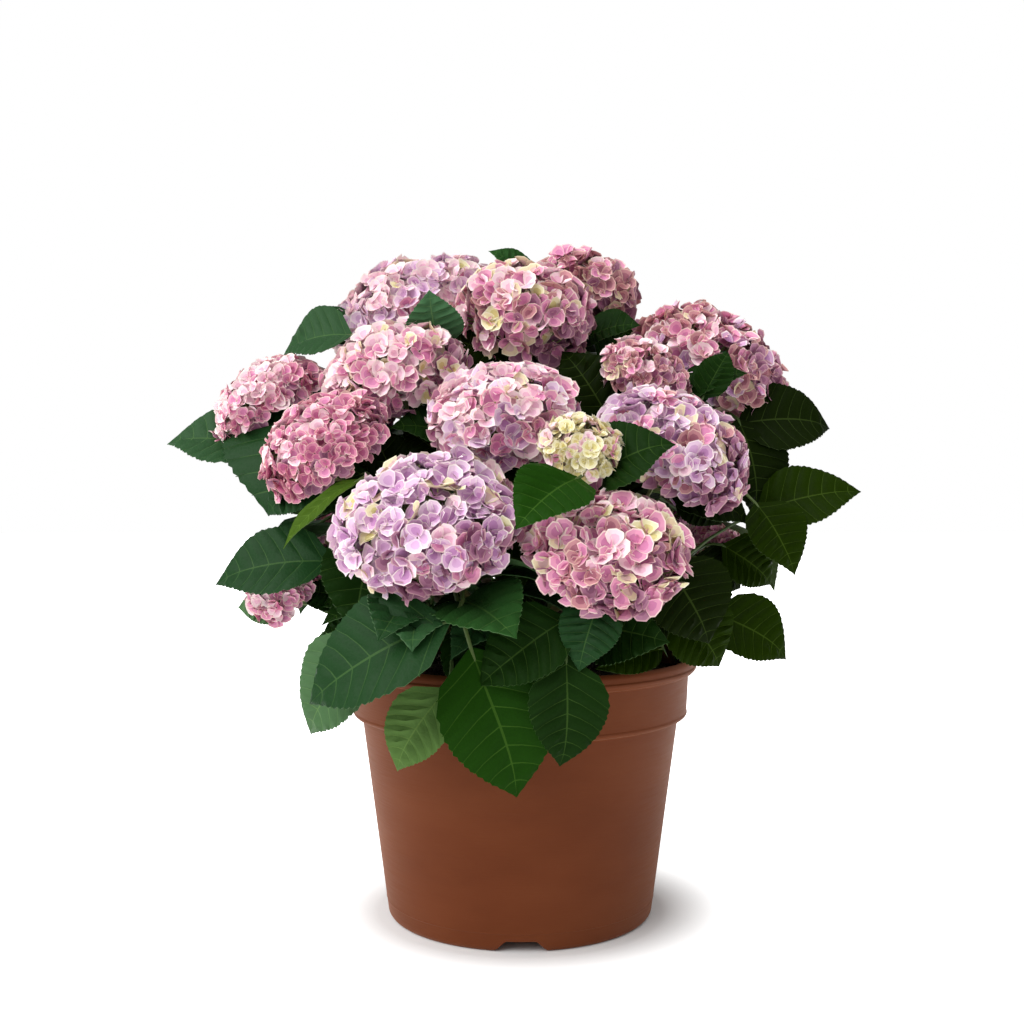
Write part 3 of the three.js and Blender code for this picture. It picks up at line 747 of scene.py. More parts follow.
# A profile's corners rounded off: each corner is r, z and the radius to round it with.
def roundedProfile(corners, steps=4):
    out = []
    for i, (x, z, r) in enumerate(corners):
        here = Vector((x, z))
        if r <= 0 or i in (0, len(corners) - 1):
            out.append(here)
            continue
        before, after = Vector(corners[i - 1][:2]), Vector(corners[i + 1][:2])
        cut = min(r, (before - here).length * 0.45, (after - here).length * 0.45)
        a = here + (before - here).normalized() * cut
        b = here + (after - here).normalized() * cut
        for k in range(steps + 1):
            t = k / steps
            out.append(a.lerp(here, t).lerp(here.lerp(b, t), t))
    return out


def turnedBody(profile, steps):
    bm = bmesh.new()
    ring = [bm.verts.new((p.x, 0, p.y)) for p in profile]
    edges = [bm.edges.new(pair) for pair in zip(ring, ring[1:])]
    bmesh.ops.spin(bm, geom=ring + edges, axis=(0, 0, 1), cent=(0, 0, 0), angle=math.tau,
                   steps=steps, use_merge=True)
    bmesh.ops.remove_doubles(bm, verts=bm.verts, dist=0.001)
    bmesh.ops.recalc_face_normals(bm, faces=bm.faces)
    return bm


def bakedMesh(piece):
    depsgraph = bpy.context.evaluated_depsgraph_get()
    return bpy.data.meshes.new_from_object(piece.evaluated_get(depsgraph))


# What is cut out of the pot: the notches in its foot ring and the drain holes.
def potCutter():
    s = potSetup
    cut = bmesh.new()
    for i in range(s["notches"]):
        made = bmesh.ops.create_cube(cut, size=1)["verts"]
        # its sides slope, so it's widest where it starts, under the foot
        for v in made:
            wide = s["notchNarrow"] if v.co.z > 0 else s["notchWide"] + 3
            z = s["notchHigh"] if v.co.z > 0 else -s["notchUnder"]
            v.co = Vector((v.co.x * wide, v.co.y * s["notchDepth"] - s["notchReach"], z))
        top = [v for v in made if abs(v.co.z - s["notchHigh"]) < 1e-3]
        sloped = {e for v in top for e in v.link_edges
                  if e.other_vert(v) in top and abs(e.verts[0].co.x - e.verts[1].co.x) < 1e-3}
        turn = Matrix.Rotation(i * math.tau / s["notches"], 4, "Z")
        bmesh.ops.transform(cut, matrix=turn, verts=made)
        bmesh.ops.bevel(cut, geom=list(sloped), affect="EDGES", offset=s["notchRound"], segments=3,
                        profile=0.5, material=-1)
    for i in range(s["holes"]):
        place = polar((i + 0.5) * 360 / s["holes"], s["holeReach"], (s["floorUnder"] + s["floorTop"]) / 2)
        bmesh.ops.create_cone(cut, cap_ends=True, segments=24, radius1=s["holeRadius"],
                              radius2=s["holeRadius"], depth=s["holeDepth"], matrix=Matrix.Translation(place))
    return cut


def makePot():
    s = potSetup
    body, collar, below, lip = s["bodyTop"], s["collar"], s["collarBottom"], s["lip"]
    inner = collar - s["wall"]
    profile = roundedProfile([
        # the underside and the ring it stands on
        (0, s["floorUnder"], 0), (86, s["floorUnder"], 1.5), (88.2, 0, 0.8), (95.8, 0, 1.2),
        (s["foot"], 2.4, 1.2),
        # the fine ridge above the foot
        (98.85, 12.2, 0.2), (99.25, 12.7, 0.2), (99.1, 13.4, 0.2),
        # the tapered body's top and the collar band
        (body, below - 1.4, 1.4), (collar - 2.4, below, 1.0), (collar - 0.8, below + 1.6, 0.7),
        (collar - 0.8, below + 2.8, 0.4), (collar - 1.2, below + 3.6, 0.4), (collar + 0.2, 178.6, 0.9),
        # the rolled lip
        (127.6, 179.4, 1.0), (lip, 182.2, 0.8), (lip, 183.6, 0.4), (lip - 0.8, 184.5, 0.4),
        (lip - 0.6, 188.2, 2.4), (127.0, s["lipTop"], 1.6), (124.4, 190.0, 1.6),
        # the inside, down to the floor
        (inner, 181, 2), (inner, 153, 2), (body - s["wall"], 148, 2), (93, s["floorTop"], 3),
        (0, s["floorTop"], 0),
    ])
    pot = pieceFrom("pot_body", turnedBody(profile, s["steps"]))
    cutter = pieceFrom("cutter", potCutter())
    modifier = pot.modifiers.new("notches", "BOOLEAN")
    modifier.operation, modifier.solver, modifier.object = "DIFFERENCE", "EXACT", cutter
    done = bakedMesh(pot)
    pot.modifiers.clear()
    bpy.data.objects.remove(cutter)
    pot.data = done
    toMetres(done)
    done.set_sharp_from_angle(angle=math.radians(42))
    return pot


def makePotFinish():
    material, shader = newMaterial("pot_plastic", potSetup["colour"], 0.5)
    r, g, b = potSetup["colour"]
    driftColour(material, shader, [
        (0.3, (r * 0.86, g * 0.82, b * 0.78)), (0.5, (r, g, b)), (0.72, (r * 1.12, g * 1.2, b * 1.3)),
    ], 9.0, (1, 1, 2.2), 6.0)
    addRelief((material, shader), fineGrain, 40.0, 0.2, 0.0006, (1, 1, 22), (0.4, 0.64))
    shader.inputs["Specular IOR Level"].default_value = 0.1
    shader.inputs["Sheen Weight"].default_value = 0.24
    shader.inputs["Sheen Tint"].default_value = (1.0, 0.5, 0.3, 1)
    shader.inputs["Sheen Roughness"].default_value = 0.45
    return material


pot = makePot()
pot.data.materials.clear()
pot.data.materials.append(makePotFinish())
settle(pot, "pot_plastic", "pot")
print("pot made:", len(pot.data.polygons), "faces")

# The soil.
soilSetup = {
    "edge": 176.0,
    "top": 179.0,
    "radius": 120.4,
    # radius and height of the corners below the edge, where the soil lies against the pot
    "against": ((0.0, 11.4), (92.4, 11.4), (113.0, 148.4), (120.5, 153.4), (120.4, 172.0)),
    "rings": 42,
    "steps": 120,
    # how close together the lumps lie, and how high they are
    "coarse": (0.055, 1.2),
    "fine": (0.22, 1.7),
    "highest": 2.6,
    "sunk": 0.6,
    "crumbs": 520,
    "crumbSize": (1.0, 3.4),
    "crumbReach": 117.0,
    "slopeReach": 120.0,
    "tones": ((0.020, 0.011, 0.007), (0.036, 0.020, 0.012), (0.075, 0.046, 0.030), (0.30, 0.26, 0.21)),
}


def makeSoil():
    s = soilSetup
    rings, rise = s["rings"], s["top"] - s["edge"]
    profile = [Vector(corner) for corner in s["against"]]
    profile += [Vector((s["radius"] * (1 - k / rings), s["edge"] + rise * k / rings))
                for k in range(rings + 1)]
    bm = turnedBody(profile, s["steps"])
    for v in bm.verts:
        if v.co.z > s["edge"] - 1:
            coarse = noise.noise(v.co * s["coarse"][0]) * s["coarse"][1]
            fine = noise.fractal(v.co * s["fine"][0], 0.9, 2.1, 5) * s["fine"][1]
            v.co.z += min(coarse + fine, s["highest"]) - s["sunk"]
    bed = pieceFrom("soil_bed", bm)
    toMetres(bed.data)
    return bed


def makeCrumbs():
    s = soilSetup
    bm = bmesh.new()
    bmesh.ops.create_icosphere(bm, subdivisions=1, radius=1)
    template = readTemplate(bm, lambda f: 0)
    k = np.arange(s["crumbs"])
    reach = s["crumbReach"] * np.sqrt(seededMany(k * 5 + 1))
    turn = seededMany(k * 5 + 2) * math.tau
    least, most = s["crumbSize"]
    size = least + (most - least) * seededMany(k * 5 + 3) ** 3
    height = s["edge"] + (s["top"] - s["edge"]) * (1 - reach / s["slopeReach"]) + size * 0.35
    middle = np.stack((reach * np.cos(turn), reach * np.sin(turn), height), axis=1)
    lump = 0.65 + 0.7 * seededMany(k[:, None] * 17 + np.arange(len(template["corners"]))[None, :] * 3)
    flat = np.stack((np.ones(len(k)), 0.6 + 0.6 * seededMany(k * 7), 0.5 + 0.4 * seededMany(k * 9)), axis=1)
    shape = template["corners"][None] * lump[:, :, None] * flat[:, None, :] * size[:, None, None]
    spin = seededMany(k * 11) * math.tau
    x = shape[:, :, 0] * np.cos(spin)[:, None] - shape[:, :, 1] * np.sin(spin)[:, None]
    y = shape[:, :, 0] * np.sin(spin)[:, None] + shape[:, :, 1] * np.cos(spin)[:, None]
    places = np.stack((x, y, shape[:, :, 2]), axis=2) + middle[:, None, :]
    pick = seededMany(k * 13 + 4)
    tone = np.select([pick < 0.5, pick < 0.85, pick < 0.965], [0, 1, 2], 3)
    materials = [reliefFinish(f"crumb_{i}", colour, 0.95, fineGrain, 900.0, 0.5, 0.0004)[0]
                 for i, colour in enumerate(s["tones"])]
    slots = np.repeat(tone, len(template["faces"]))
    return meshOfCopies("soil_crumbs", [(places, template["faces"], slots)], materials)


soil = makeSoil()
soilTones = soilSetup["tones"]
soilMaterial, soilShader = reliefFinish("potting_mix", soilTones[0], 0.96, fineGrain, 520.0, 0.7, 0.0012)
driftColour(soilMaterial, soilShader, list(zip((0.35, 0.55, 0.72), soilTones)), 260.0)
soil.data.materials.append(soilMaterial)
settle(soil, "soil", "potting_soil")
crumbs = makeCrumbs()
settle(crumbs, "soil", "potting_soil")
print("soil made")

# The woody foot and the canes.
caneSetup = {
    "sides": 14,
    "rows": 26,
    "ridge": 0.34,
    "knobEvery": 17.0,
    "knobWidth": 1.6,
    "knobHigh": 0.55,
    "footSteps": 40,
    "footRibs": 7,
    "ribHigh": 0.7,
    "footLumps": 2.2,
    "bark": ((0.055, 0.036, 0.022), (0.150, 0.110, 0.066), (0.270, 0.215, 0.140)),
}


def barkLump(p):
    along = Vector((p.x * 0.55, p.y * 0.55, p.z * 0.10))
    return noise.fractal(along, 0.8, 2.0, 4) * caneSetup["ridge"] + noise.noise(p * 0.9) * 0.12


# The lumpy foot of wood that the canes spring from.
def footShape():
    s, wide = caneSetup, plantSizes["footWidth"]
    foot = turnedBody(roundedProfile([
        (0, 179.4, 0), (wide, 179.4, 1), (wide - 0.6, 184, 3),
        (wide - 5, 193, 4), (wide - 12, 198, 3), (0, 198.4, 0),
    ]), s["footSteps"])
    bmesh.ops.subdivide_edges(foot, edges=foot.edges, cuts=1, use_grid_fill=True)
    for v in foot.verts:
        if v.co.z > 180 and math.hypot(v.co.x, v.co.y) > 0.1:
            out = Vector((v.co.x, v.co.y, 0)).normalized()
            ribs = math.sin(math.atan2(v.co.y, v.co.x) * s["footRibs"]) * s["ribHigh"]
            v.co += out * (noise.fractal(v.co * 0.16, 0.8, 2.0, 5) * s["footLumps"] + ribs - 0.6)
            v.co.z += noise.noise(v.co * 0.2) * 1.3 - 0.5
    return readTemplate(foot, lambda f: 0)


def makeCanes():
    s, z = caneSetup, plantSizes
    template = stalkTemplate(s["sides"], s["rows"])
    points, radii = [], []
    for name in canes:
        curve = caneCurve(name)
        length = curve["walked"][-1]
        rowPoints, rowRadii = [], []
        for row in range(s["rows"] + 1):
            share = row / s["rows"]
            rowPoints.append(pointAt(curve, share)[:])
            walked = share * length
            fromKnob = (walked % s["knobEvery"]) - s["knobEvery"] / 2
            knob = math.exp(-(fromKnob / s["knobWidth"]) ** 2) * s["knobHigh"]
            rowRadii.append(z["caneRadius"] + (z["forkRadius"] + 0.25 - z["caneRadius"]) * share + knob)
        points.append(rowPoints)
        radii.append(rowRadii)
    places = bentStalks(template, points, radii)
    middle = np.asarray(points)[:, np.rint(template["corners"][:, 2] * s["rows"]).astype(int)]
    outward = places - middle
    outward /= np.linalg.norm(outward, axis=2, keepdims=True) + 1e-9
    lump = np.array([[barkLump(Vector(p)) for p in row] for row in places])
    places = places + outward * lump[:, :, None]
    foot = footShape()
    batches = [
        (places, template["faces"], np.zeros(places.shape[0] * len(template["faces"]), dtype=int)),
        (foot["corners"][None], foot["faces"], np.zeros(len(foot["faces"]), dtype=int)),
    ]
    material, shader = newMaterial("cane_bark", s["bark"][1], 0.85)
    driftColour(material, shader, list(zip((0.3, 0.52, 0.7), s["bark"])), 160.0, (1, 1, 0.3))
    addRelief((material, shader), fineGrain, 420.0, 0.6, 0.0008, (1, 1, 0.25), (0.7, 0.95))
    return meshOfCopies("woody_canes", batches, [material])


woody = makeCanes()
settle(woody, "cane_bark", "woody_foot", *["cane_" + name for name in canes])
print("canes made:", len(woody.data.polygons), "faces")

# The green stems and the leaf stalks.
stemSetup = {
    "sides": 10,
    "rows": 24,
    "stalkSides": 6,
    "stalkRows": 8,
    "stemStart": 3.15,
    "stemTaper": 0.6,
    "spurTaper": 1.9,
    "knots": (0.12, 0.38, 0.62, 0.86),
    "knotWidth": 0.018,
    "knotHigh": 0.5,
    "stalkFoot": 2.1,
    "stalkRadius": 1.55,
    "stalkTaper": 0.3,
    # where the stalk runs on as the blade's rib: share of the length and radius
    "rib": ((0.1, 0.95), (0.22, 0.75), (0.36, 0.45)),
    "stemColours": ((76, 96, 44), (98, 92, 48), (60, 80, 36)),
    "stalkColours": ((88, 108, 54), (70, 92, 42)),
}


def tone(r, g, b):
    return tuple((c / 255 / 12.92) if c <= 10 else ((c / 255 + 0.055) / 1.055) ** 2.4 for c in (r, g, b))


def stalkMaterials(prefix, colours, roughness):
    relief = (fineGrain, 500.0, 0.25, 0.0005, (1, 1, 0.3), (roughness - 0.1, roughness + 0.15))
    return [reliefFinish(f"{prefix}_{i}", tone(*colour), roughness, *relief)[0]
            for i, colour in enumerate(colours)]


# Bent stalks as one batch of copies, each with its own material slot.
def stalkBatch(template, points, radii, slots):
    return bentStalks(template, points, radii), template["faces"], np.repeat(slots, len(template["faces"]))


# A stem's radius along its way, with a knot at each pair of leaves.
def stemRadius(share, spur):
    s = stemSetup
    knots = sum(math.exp(-((share - at) / s["knotWidth"]) ** 2) for at in s["knots"])
    taper = s["spurTaper"] if spur else s["stemTaper"]
    return s["stemStart"] - taper * share + s["knotHigh"] * knots * (0.5 if spur else 1)


# A leaf's stalk as points and radii, running on under the blade as its rib.
def leafStalk(leaf):
    s = stemSetup
    along, _, face, base = leafFrame(leaf)
    root, length = leaf["root"], leaf["length"]
    reach = (base - root).length
    bend = root.lerp(base, 0.5).lerp(base - along * (0.5 * reach), 0.6)
    stout = 0.7 + 0.3 * min(length / 90, 1.1)
    points, radii = [], []
    for row in range(6):
        t = row / 5
        points.append(root.lerp(bend, t).lerp(bend.lerp(base, t), t)[:])
        radii.append((s["stalkFoot"] if row == 0 else s["stalkRadius"] - s["stalkTaper"] * t) * stout)
    for share, r in s["rib"]:
        height = plantSizes["bowShare"] * length * 4 * share * (1 - share)
        points.append((base + along * (share * length) + face * (height - 1.0))[:])
        radii.append(r * stout)
    return points, radii


def makeStems():
    s = stemSetup
    stem, stalk = stalkTemplate(s["sides"], s["rows"]), stalkTemplate(s["stalkSides"], s["stalkRows"])
    stems, stalks = [], []
    shares = [0.94 * i / (s["rows"] - 1) + 0.06 for i in range(s["rows"])]
    for m, mass in enumerate(masses):
        for c, curve in enumerate(mass["curves"]):
            points = [mass["start"][:]] + [pointAt(curve, share)[:] for share in shares]
            spur = canes[mass["name"]][1] and c == len(mass["curves"]) - 1
            radii = [plantSizes["forkRadius"]] + [stemRadius(share, spur) for share in shares]
            stems.append((points, radii, int(3 * seeded(m * 13 + c * 7 + 5))))
        for n, leaf in enumerate(mass["kept"]):
            stalks.append((*leafStalk(leaf), 3 + int(2 * seeded(m * 31 + n * 3))))
    batches = [stalkBatch(stem, *zip(*stems)), stalkBatch(stalk, *zip(*stalks))]
    materials = stalkMaterials("stem_green", s["stemColours"], 0.55)
    materials += stalkMaterials("leaf_stalk", s["stalkColours"], 0.5)
    return meshOfCopies("green_stems", batches, materials)


leafyNodes = ["leafy_mass_" + name for name in canes]
stems = makeStems()
settle(stems, "leaves", *leafyNodes)
print("stems made:", len(stems.data.polygons), "faces")

# The leaves.
leafSetup = {
    "outline": ((0, 0.06), (0.06, 0.42), (0.12, 0.66), (0.2, 0.86), (0.3, 0.97), (0.42, 1.0), (0.55, 0.93),
                (0.68, 0.76), (0.8, 0.5), (0.9, 0.24), (0.96, 0.09), (1.0, 0.0)),
    "fine": {"columns": (-1, -0.66, -0.33, -0.024, 0.024, 0.33, 0.66, 1), "veins": 7, "middles": True},
    "coarse": {"columns": (-1, -0.5, -0.026, 0.026, 0.5, 1), "veins": 5, "middles": False},
    "veinHalf": 0.0042,
    "firstVein": 0.07,
    "veinReach": 0.80,
    "veinCrowding": 0.92,
    "sweep": 0.26,
    "quilt": 2.8,
    "tooth": 0.021,
    "sweepStart": 0.08,
    "sweepPower": 1.2,
    "lean": 0.05,
    "thickness": 0.5,
    "wave": 0.022,
    "waveTurns": 9,
    "curl": 0.05,
    "curlFrom": 0.72,
    # how far the blade between two veins is raised, from the midrib to the margin
    "panel": ((0, 0), (0.035, 0), (0.33, 1), (0.66, 0.85), (1, 0.12)),
    "glossy": ("teal", "grey", "pale"),
    "tints": {
        "teal": (28, 60, 28),
        "grey": (42, 76, 42),
        "pale": (70, 102, 64),
        "mid": (38, 74, 32),
        "fresh": (54, 84, 22),
        "mist": (62, 98, 64),
        "lime": (66, 92, 26),
        "spring": (84, 114, 58),
        "deep": (26, 60, 8),
        "dark": (21, 44, 11),
        "shade": (17, 28, 3),
        # painted shade: a leaf green darkened for leaves that lie in the bush's shade
        "olive": (27, 44, 1),
    },
    # tints for the leaves without one of their own: inside the bush, on its +X side, low down, elsewhere;
    # those inside and on the +X side, away from the key light, take darker tints as painted shade
    "mixes": {
        "inside": ("shade", "dark", "olive", "deep"),
        "side": ("olive", "shade", "olive", "dark", "mid"),
        "low": ("deep", "fresh", "mid", "dark"),
        "rest": ("teal", "grey", "mid", "dark", "teal"),
    },
    "insideReach": 130,
    "sideFrom": 90,
    "lowUnder": 190,
}


# Where a side vein leaves the midrib, as a share of the leaf's length.
def veinPlace(v, veins):
    return leafSetup["firstVein"] + leafSetup["veinReach"] * (v / (veins - 1)) ** leafSetup["veinCrowding"]


# A leaf's flat pattern: the column as x, the row as y, the underside at z = 0 and the top at z = 1.
# A row is its share of the length, its shift and its kind: 0 flat, 1 vein, 2 raised between veins.
def leafTemplate(setup):
    columns, veins = setup["columns"], setup["veins"]
    half = leafSetup["veinHalf"]
    rows = [(0.0, 0.0, 0)]
    for v in range(veins):
        centre = veinPlace(v, veins)
        rows += [(centre, -half, 1), (centre, half, 1)]
        if setup["middles"] and v < veins - 1:
            rows.append(((centre + veinPlace(v + 1, veins)) / 2, 0.0, 2))
    rows += [(0.95, 0.0, 2), (1.0, 0.0, 0)]
    wide, tall = len(columns) - 1, len(rows) - 1
    bm = bmesh.new()
    bmesh.ops.create_grid(bm, x_segments=wide, y_segments=tall, size=1)
    for v in bm.verts:
        v.co = Vector((round((v.co.x + 1) / 2 * wide), round((v.co.y + 1) / 2 * tall), 0))
    margin = [e for e in bm.edges if e.is_boundary and abs(e.verts[0].co.y - e.verts[1].co.y) > 0.5]
    bmesh.ops.subdivide_edges(bm, edges=margin, cuts=1)
    bmesh.ops.triangulate(bm, faces=bm.faces, quad_method="FIXED")
    made = bmesh.ops.extrude_face_region(bm, geom=bm.faces[:], use_keep_orig=True)["geom"]
    bmesh.ops.translate(bm, verts=[g for g in made if isinstance(g, bmesh.types.BMVert)], vec=(0, 0, 1))
    bmesh.ops.recalc_face_normals(bm, faces=bm.faces)

    def zoneOf(face):
        if min(v.co.z for v in face.verts) < 0.5:
            return 2
        xs, ys = [v.co.x for v in face.verts], [v.co.y for v in face.verts]
        middle = wide // 2
        if min(xs) > middle - 0.5 and max(xs) < middle + 1.5:
            return 1
        low, high = rows[int(min(ys))], rows[math.ceil(max(ys) - 1e-6)]
        return 1 if low[2] == 1 and high[2] == 1 and low[0] == high[0] else 0

    template = readTemplate(bm, zoneOf)
    x, y = template["corners"][:, 0], template["corners"][:, 1]
    template["u"] = np.interp(x, range(wide + 1), columns)
    low = np.floor(y + 1e-6).astype(int)
    template["tooth"] = np.where(np.abs(y - np.rint(y)) > 0.25, 1.0, 0.0)
    centre, offset, kind = (np.array([r[i] for r in rows], dtype=float) for i in range(3))
    taper = 1 - 0.7 * np.abs(template["u"])
    place = centre[low] + offset[low] * taper
    after = np.minimum(low + 1, tall)
    split = template["tooth"] > 0
    template["t"] = np.where(split, 0.38 * place + 0.62 * (centre[after] + offset[after] * taper), place)
    template["t"] = np.clip(template["t"], 0, 1)
    template["relief"] = np.where(kind[low] == 2, 1.0, np.where(kind[low] == 1, -0.35, 0.0)) * ~split
    template["top"] = template["corners"][:, 2] > 0.5
    return template


def shapedLeaves(template, leaves):
    s = leafSetup
    u, t = template["u"][None], template["t"][None]
    frames = [leafFrame(leaf) for leaf in leaves]
    along, side, face, base = (np.array([f[i][:] for f in frames])[:, None, :] for i in range(4))
    length = np.array([leaf["length"] for leaf in leaves])[:, None]
    width = np.array([leaf["width"] for leaf in leaves])[:, None]
    tips = [leaf["tip"] for leaf in leaves]
    k = np.array([p.x * 0.37 + p.y * 0.11 + p.z * 0.23 for p in tips])[:, None]
    sweep = s["sweep"] * (0.8 + 0.4 * seededMany(k + 1))
    share = t + sweep * (1 - np.exp(-t / s["sweepStart"])) * (1 - t) * np.abs(u) ** s["sweepPower"]
    half = np.interp(share, *zip(*s["outline"])) * width / 2
    half = np.maximum(half, 0.35)
    tooth = template["tooth"][None] * s["tooth"] * width * np.sign(u)
    x = u * half + tooth * np.minimum(half / (width * 0.2), 1)
    lean = s["lean"] * (seededMany(k + 2) - 0.5) * 2
    x = x + lean * length * share * share * 4 * (1 - share)
    bow = plantSizes["bowShare"] * length * 4 * share * (1 - share)
    rise = plantSizes["foldShare"] * 1.5 * half * (1.3 * np.abs(u) - 0.42 * u * u)
    panel = np.interp(np.abs(u), *zip(*s["panel"]))
    relief = template["relief"][None] * panel * s["quilt"] * np.minimum(half / 14, 1)
    turn = share * s["waveTurns"] + k * 3 + np.where(u > 0, 1.7, 0)
    wave = s["wave"] * length * np.sin(turn) * u * u * np.sin(math.pi * share)
    end = np.maximum(share - s["curlFrom"], 0) ** 2 / 0.078
    curl = -s["curl"] * length * end * (0.3 + seededMany(k + 3))
    under = np.where(template["top"], 0.0, -s["thickness"])[None] * np.minimum(half / 3, 1)
    z = bow + rise + relief + wave + curl + under
    return base + along * (share * length)[:, :, None] + side * x[:, :, None] + face * z[:, :, None]


def leafMaterials():
    made = []
    for name, colour in leafSetup["tints"].items():
        r, g, b = colour
        zones = {
            "blade": colour,
            "vein": (r * 0.8 + 32, g * 0.8 + 38, b * 0.8 + 20),
            "under": (r * 0.6 + 50, g * 0.6 + 60, b * 0.6 + 44),
        }
        for zone, rgb in zones.items():
            relief = (330.0 if zone == "blade" else 500.0, 0.22, 0.0004, (1, 1, 1), (0.38, 0.52))
            material, shader = reliefFinish(f"leaf_{name}_{zone}", tone(*rgb), 0.5, veinNet, *relief)
            shader.inputs["Specular IOR Level"].default_value = 0.08 if name in leafSetup["glossy"] else 0.025
            made.append(material)
    return made


# A leaf without a tint of its own takes one by where its tip is; inside the bush and on its +X side these are
# darker, as painted shade.
def tintOf(leaf, k):
    s, tip = leafSetup, leaf["tip"]
    if "tint" in leaf:
        return leaf["tint"]
    where = "rest"
    if math.hypot(tip.x, tip.y) < s["insideReach"]:
        where = "inside"
    elif tip.x > s["sideFrom"]:
        where = "side"
    elif tip.z < s["lowUnder"]:
        where = "low"
    mix = s["mixes"][where]
    return mix[int(len(mix) * seeded(k))]


def makeLeaves(name, template, leaves, materials):
    names = list(leafSetup["tints"])
    tints = np.array([names.index(tintOf(leaf, 1.7 * i + 11)) for i, leaf in enumerate(leaves)])
    slots = tints[:, None] * 3 + template["zones"][None]
    return meshOfCopies(name, [(shapedLeaves(template, leaves), template["faces"], slots)], materials)


leafFinish = leafMaterials()
for name, pattern, outer in (("leaves_outer", "fine", True), ("leaves_inner", "coarse", False)):
    shown = [leaf for mass in masses for leaf in mass["kept"] if bool(leaf["outer"]) == outer]
    piece = makeLeaves(name, leafTemplate(leafSetup[pattern]), shown, leafFinish)
    settle(piece, "leaves", *leafyNodes)
    print(name, "made:", len(piece.data.polygons), "faces")

# The blossom.
bloomSetup = {
    "density": 6.9,
    "sizeShare": 0.92,
    # heads, by their number, that are flatter or taller, and those that reach further down
    "stretch": {0: 0.83, 1: 0.83, 6: 0.6, 16: 0.8, 4: 1.2, 5: 1.17, 7: 1.15, 11: 0.98, 15: 1.05, 17: 1.1,
                20: 1.2},
    "deeper": {4: -0.6, 5: -0.65, 7: -0.6, 17: -0.6, 19: -0.65, 20: -0.8},
    "lowest": -0.4,
    "inset": 5.0,
    "fullSize": 24.0,
    "depthFullSize": 25.0,
    "depthSpread": 6.0,
    "sizes": (0.86, 0.26),
    "flatten": 0.86,
    "jitter": 0.3,
    "tilt": 44.0,
    "lumps": 0.05,
    "petalSides": 9,
    "rim": 0.9,
    "heart": 0.56,
    "lower": 0.16,
    "petalWidth": 1.02,
    "cup": 0.24,
    "fan": 0.5,
    "tipRise": 0.1,
    "pitch": (4.0, 40.0),
    "beadRadius": 0.8,
    "rays": 8,
    "filler": 0.12,
    "fillerDepth": 0.8,
    "strays": 0.2,
    "wave": 0.05,
    "goldenTurn": 2.39996,
    # how far a petal must face towards or away from the sun side to be painted paler or darker
    "litAbove": 0.68,
    "dimBelow": 0.02,
    # from the stalk's foot to the floret, the radii of a ray and of a floret's own stalk
    "rayRadii": (1.9, 1.7, 1.3, 0.9, 0.8),
    "footRadii": (0.75, 0.65, 0.6, 0.6, 0.5),
    "stalkColours": ((150, 156, 104),),
    # rim, outer and heart colour of each family
    "families": {
        "lilac": ((240, 222, 224), (210, 166, 200), (186, 132, 180)),
        "lilacPale": ((248, 236, 236), (236, 206, 228), (218, 176, 214)),
        "pink": ((246, 216, 210), (228, 156, 186), (208, 128, 170)),
        "pinkPale": ((252, 238, 230), (252, 220, 228), (240, 192, 212)),
        "rose": ((240, 196, 194), (216, 138, 166), (194, 104, 146)),
        "dusk": ((224, 186, 174), (196, 138, 144), (168, 106, 122)),
        # painted shade: a darker copy of lilac and dusk, taken by petals that face away from the light
        "shade": ((202, 162, 168), (174, 120, 146), (150, 96, 126)),
        "cream": ((246, 240, 216), (236, 228, 184), (220, 208, 142)),
        "greenTip": ((242, 236, 200), (232, 214, 178), (218, 186, 180)),
    },
    # painted light and shade: petals facing the sun side take a paler family, those facing away a darker one
    # (dusk is also a head's own colour)
    "sunSide": (-0.55, -0.4, 0.73),
    "paintedLit": (("lilac", "lilacPale"), ("pink", "pinkPale"), ("rose", "pink"), ("dusk", "pink")),
    "shaded": (("lilac", "shade"), ("pink", "dusk"), ("dusk", "shade"), ("pinkPale", "pink"),
               ("lilacPale", "lilac")),
    "bead": ((112, 70, 84), (150, 140, 78)),
    "mixes": {
        "lilac": (("lilac", 0.56), ("lilacPale", 0.18), ("greenTip", 0.12), ("cream", 0.04),
                  ("pinkPale", 0.1)),
        "lilacPale": (("lilac", 0.42), ("lilacPale", 0.28), ("pink", 0.12), ("greenTip", 0.06),
                      ("dusk", 0.12)),
        "pinkGreen": (("pink", 0.42), ("pinkPale", 0.12), ("greenTip", 0.2), ("cream", 0.06), ("dusk", 0.2)),
        "pink": (("pink", 0.32), ("pinkPale", 0.34), ("lilacPale", 0.3), ("greenTip", 0.04)),
        "pinkPale": (("pinkPale", 0.5), ("greenTip", 0.06), ("cream", 0.06), ("lilacPale", 0.38)),
        "pinkCream": (("pinkPale", 0.14), ("pink", 0.6), ("cream", 0.1), ("greenTip", 0.16)),
        "rose": (("rose", 0.56), ("pink", 0.3), ("pinkPale", 0.1), ("dusk", 0.04)),
        "rosePale": (("rose", 0.2), ("pinkPale", 0.42), ("pink", 0.38)),
        "hot": (("rose", 0.9), ("pink", 0.1)),
        "dusk": (("dusk", 0.56), ("lilac", 0.1), ("pink", 0.24), ("greenTip", 0.1)),
        "brown": (("dusk", 0.78), ("greenTip", 0.14), ("pinkPale", 0.08)),
        "cream": (("dusk", 0.5), ("pinkPale", 0.28), ("cream", 0.08), ("greenTip", 0.14)),
        "young": (("cream", 0.6), ("pinkPale", 0.28), ("greenTip", 0.12)),
    },
}


